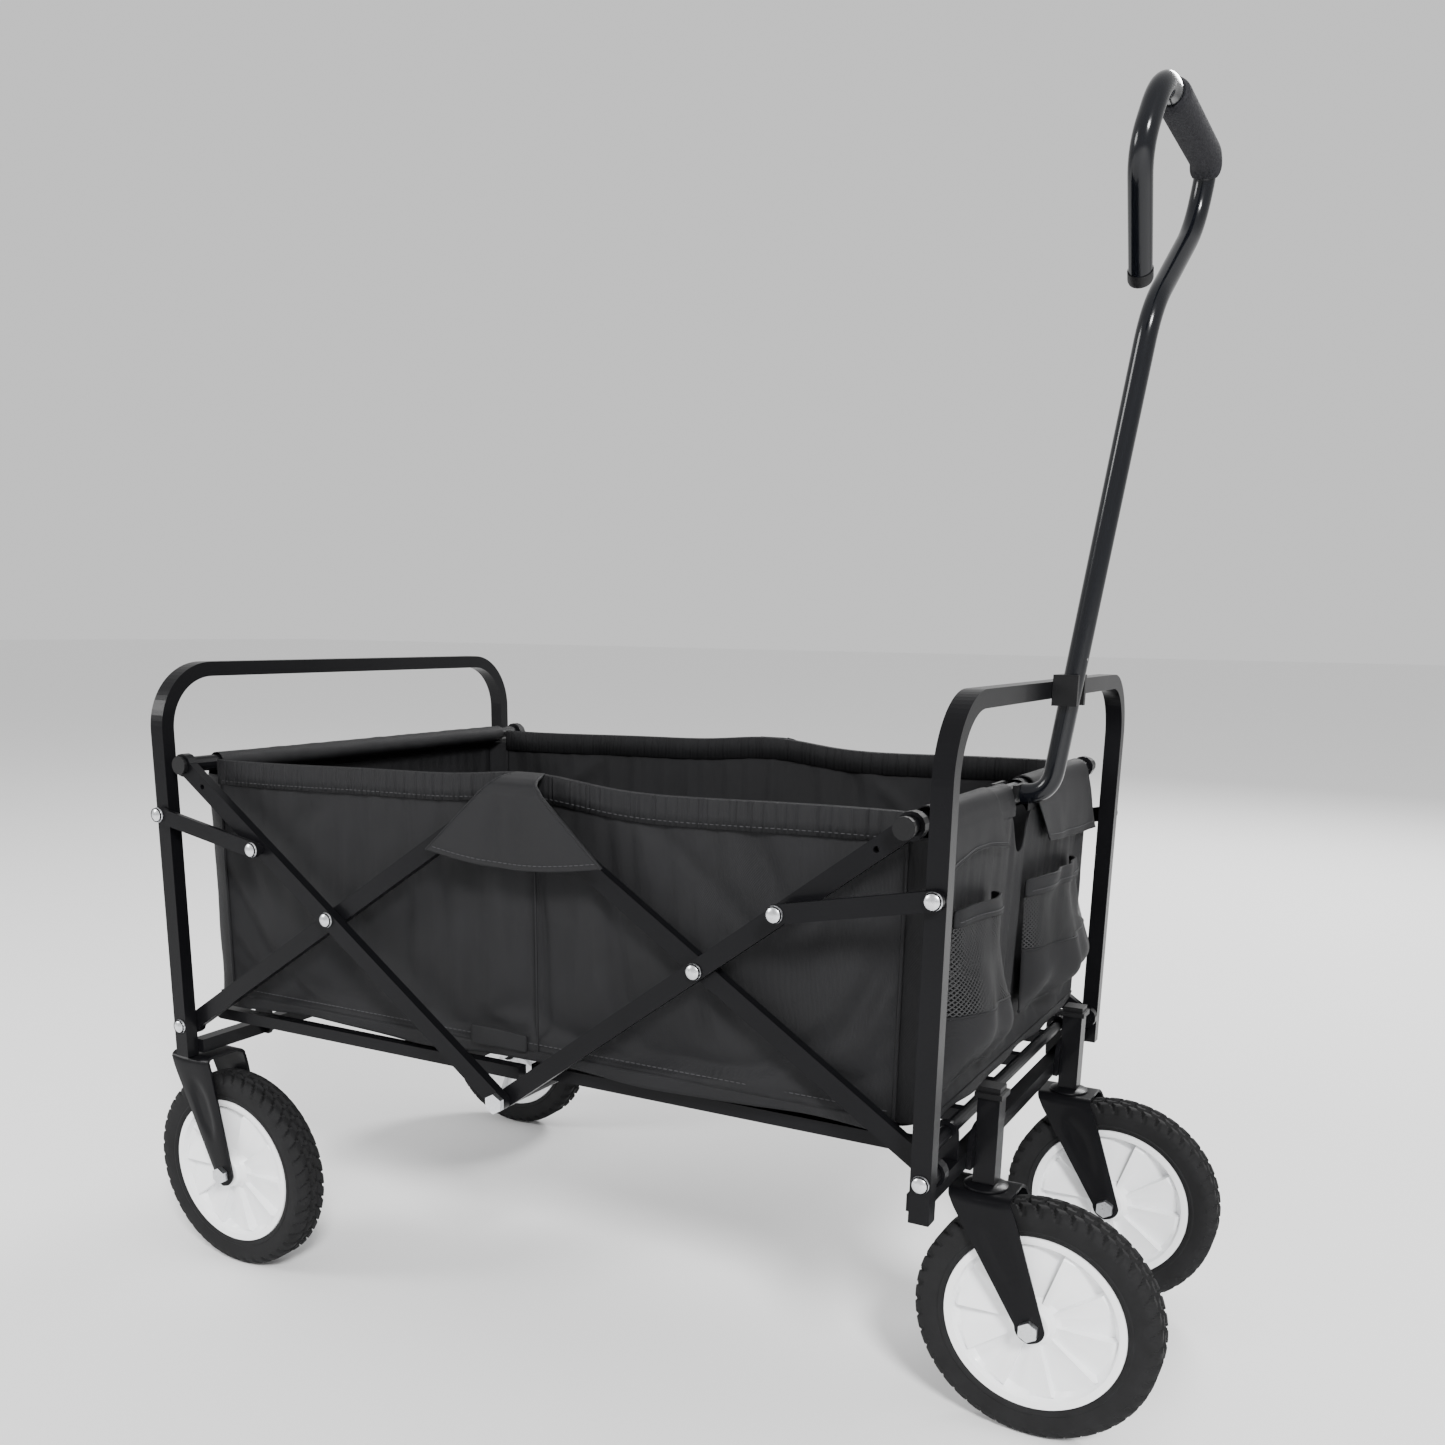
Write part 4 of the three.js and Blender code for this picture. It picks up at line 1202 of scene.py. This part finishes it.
def floor_point(u, v):
    x, y = between(-319, 319, u), between(-200, 200, v)
    rim = max(abs(x) - 296, 0) / 23, max(abs(y) - 182, 0) / 18
    curl = 8.5 * min(1, max(rim)) ** 1.6
    ripple = 0.8 * noise.noise(Vector((x * 0.02, y * 0.02, 7)))
    return at(x, y, 240.2 + curl + ripple)


floor_cloth = patch("floor_cloth", floor_point, (64, 44), "rear_end")
declare(floor_cloth)
crumple(floor_cloth)


def wrapped_board(name, node, body):
    low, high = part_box(node)
    middle, half = (low + high) / 2, (high - low) / 2
    rows, sides, points = 22, 40, []
    for i in range(rows + 1):
        turn = math.pi * i / rows
        share_x = -math.copysign(abs(math.cos(turn)) ** 0.12, math.cos(turn))
        narrow = max(abs(math.sin(turn)) ** 0.12, 0.02)
        for k in range(sides):
            angle = 2 * math.pi * (k + 0.5) / sides
            share_y = math.copysign(abs(math.cos(angle)) ** 0.1, math.cos(angle))
            share_z = math.copysign(abs(math.sin(angle)) ** 0.5, math.sin(angle))
            step = Vector((half.x * share_x, half.y * share_y * narrow, half.z * share_z * narrow))
            points.append(middle + step)
    faces = grid_faces(rows + 1, sides, False, True)
    faces += [tuple(range(sides)), tuple(range(rows * sides, (rows + 1) * sides))]
    board = make(name, points, faces, body, "floor_board", [node], angle=60)


for end_name in ENDS:
    wrapped_board(f"{end_name}_wrapped_board", f"{end_name}_floor_board", f"{end_name}_floor")
tell("floor cloth and boards")

# %% [markdown]
# A plain pale floor, a white surround and broad soft lights, as in a catalogue picture. The view
# looks down a little from the front right, and its frame is shifted up a little, so that uprights
# stay nearly upright while the whole handle stays in.
# %% Studio and camera


def area_light(name, place, target, size, power):
    data = bpy.data.lights.new(name, "AREA")
    data.shape = "DISK"
    data.size = size
    data.energy = power
    light = bpy.data.objects.new(name, data)
    light.location = place
    light.rotation_euler = (Vector(target) - Vector(place)).to_track_quat("-Z", "Y").to_euler()
    bpy.context.collection.objects.link(light)


def studio():
    floor_data = bpy.data.meshes.new("floor")
    far = 30
    corners = [(-far, -far, -MM), (far, -far, -MM), (far, far, -MM), (-far, far, -MM)]
    floor_data.from_pydata(corners, [], [(0, 1, 2, 3)])
    floor = bpy.data.objects.new("floor", floor_data)
    bpy.context.collection.objects.link(floor)
    floor_data.materials.append(Finish("studio floor", (0.9, 0.9, 0.9), 0.8).material)
    world = bpy.data.worlds.new("white surround")
    bpy.context.scene.world = world
    world.use_nodes = True
    background = world.node_tree.nodes["Background"]
    background.inputs["Color"].default_value = (1, 1, 1, 1)
    background.inputs["Strength"].default_value = 0.85
    area_light("key", (2.2, -2.6, 2.6), (0, 0, 0.3), 0.8, 230)
    area_light("fill", (-2.6, -2.0, 1.8), (0, 0, 0.3), 1.2, 60)
    area_light("rim", (0.5, 3.0, 2.4), (0, 0, 0.4), 1.2, 110)


VIEW_AZIMUTH = math.radians(28.53)
VIEW_ELEVATION = math.radians(13.66)
VIEW_ROLL = math.radians(0.81)
EYE = Vector((0.6007 + middle_x, -1.0173, 0.5700))
LENS = 33.71
SHIFT = (0.0156, 0.1602)


def camera():
    data = bpy.data.cameras.new("camera")
    data.sensor_width = 36
    data.lens = LENS
    data.shift_x, data.shift_y = SHIFT
    data.clip_end = 100
    eye = bpy.data.objects.new("camera", data)
    flat = math.cos(VIEW_ELEVATION)
    back = Vector((
        math.sin(VIEW_AZIMUTH) * flat, -math.cos(VIEW_AZIMUTH) * flat, math.sin(VIEW_ELEVATION),
    ))
    right = Vector((0, 0, 1)).cross(back).normalized()
    up = back.cross(right)
    tilted_right = math.cos(VIEW_ROLL) * right + math.sin(VIEW_ROLL) * up
    tilted_up = math.cos(VIEW_ROLL) * up - math.sin(VIEW_ROLL) * right
    eye.location = EYE
    eye.rotation_euler = Matrix((tilted_right, tilted_up, back)).transposed().to_euler()
    bpy.context.collection.objects.link(eye)
    bpy.context.scene.camera = eye


studio()
camera()
print("the camera stands at", [round(v, 3) for v in EYE])
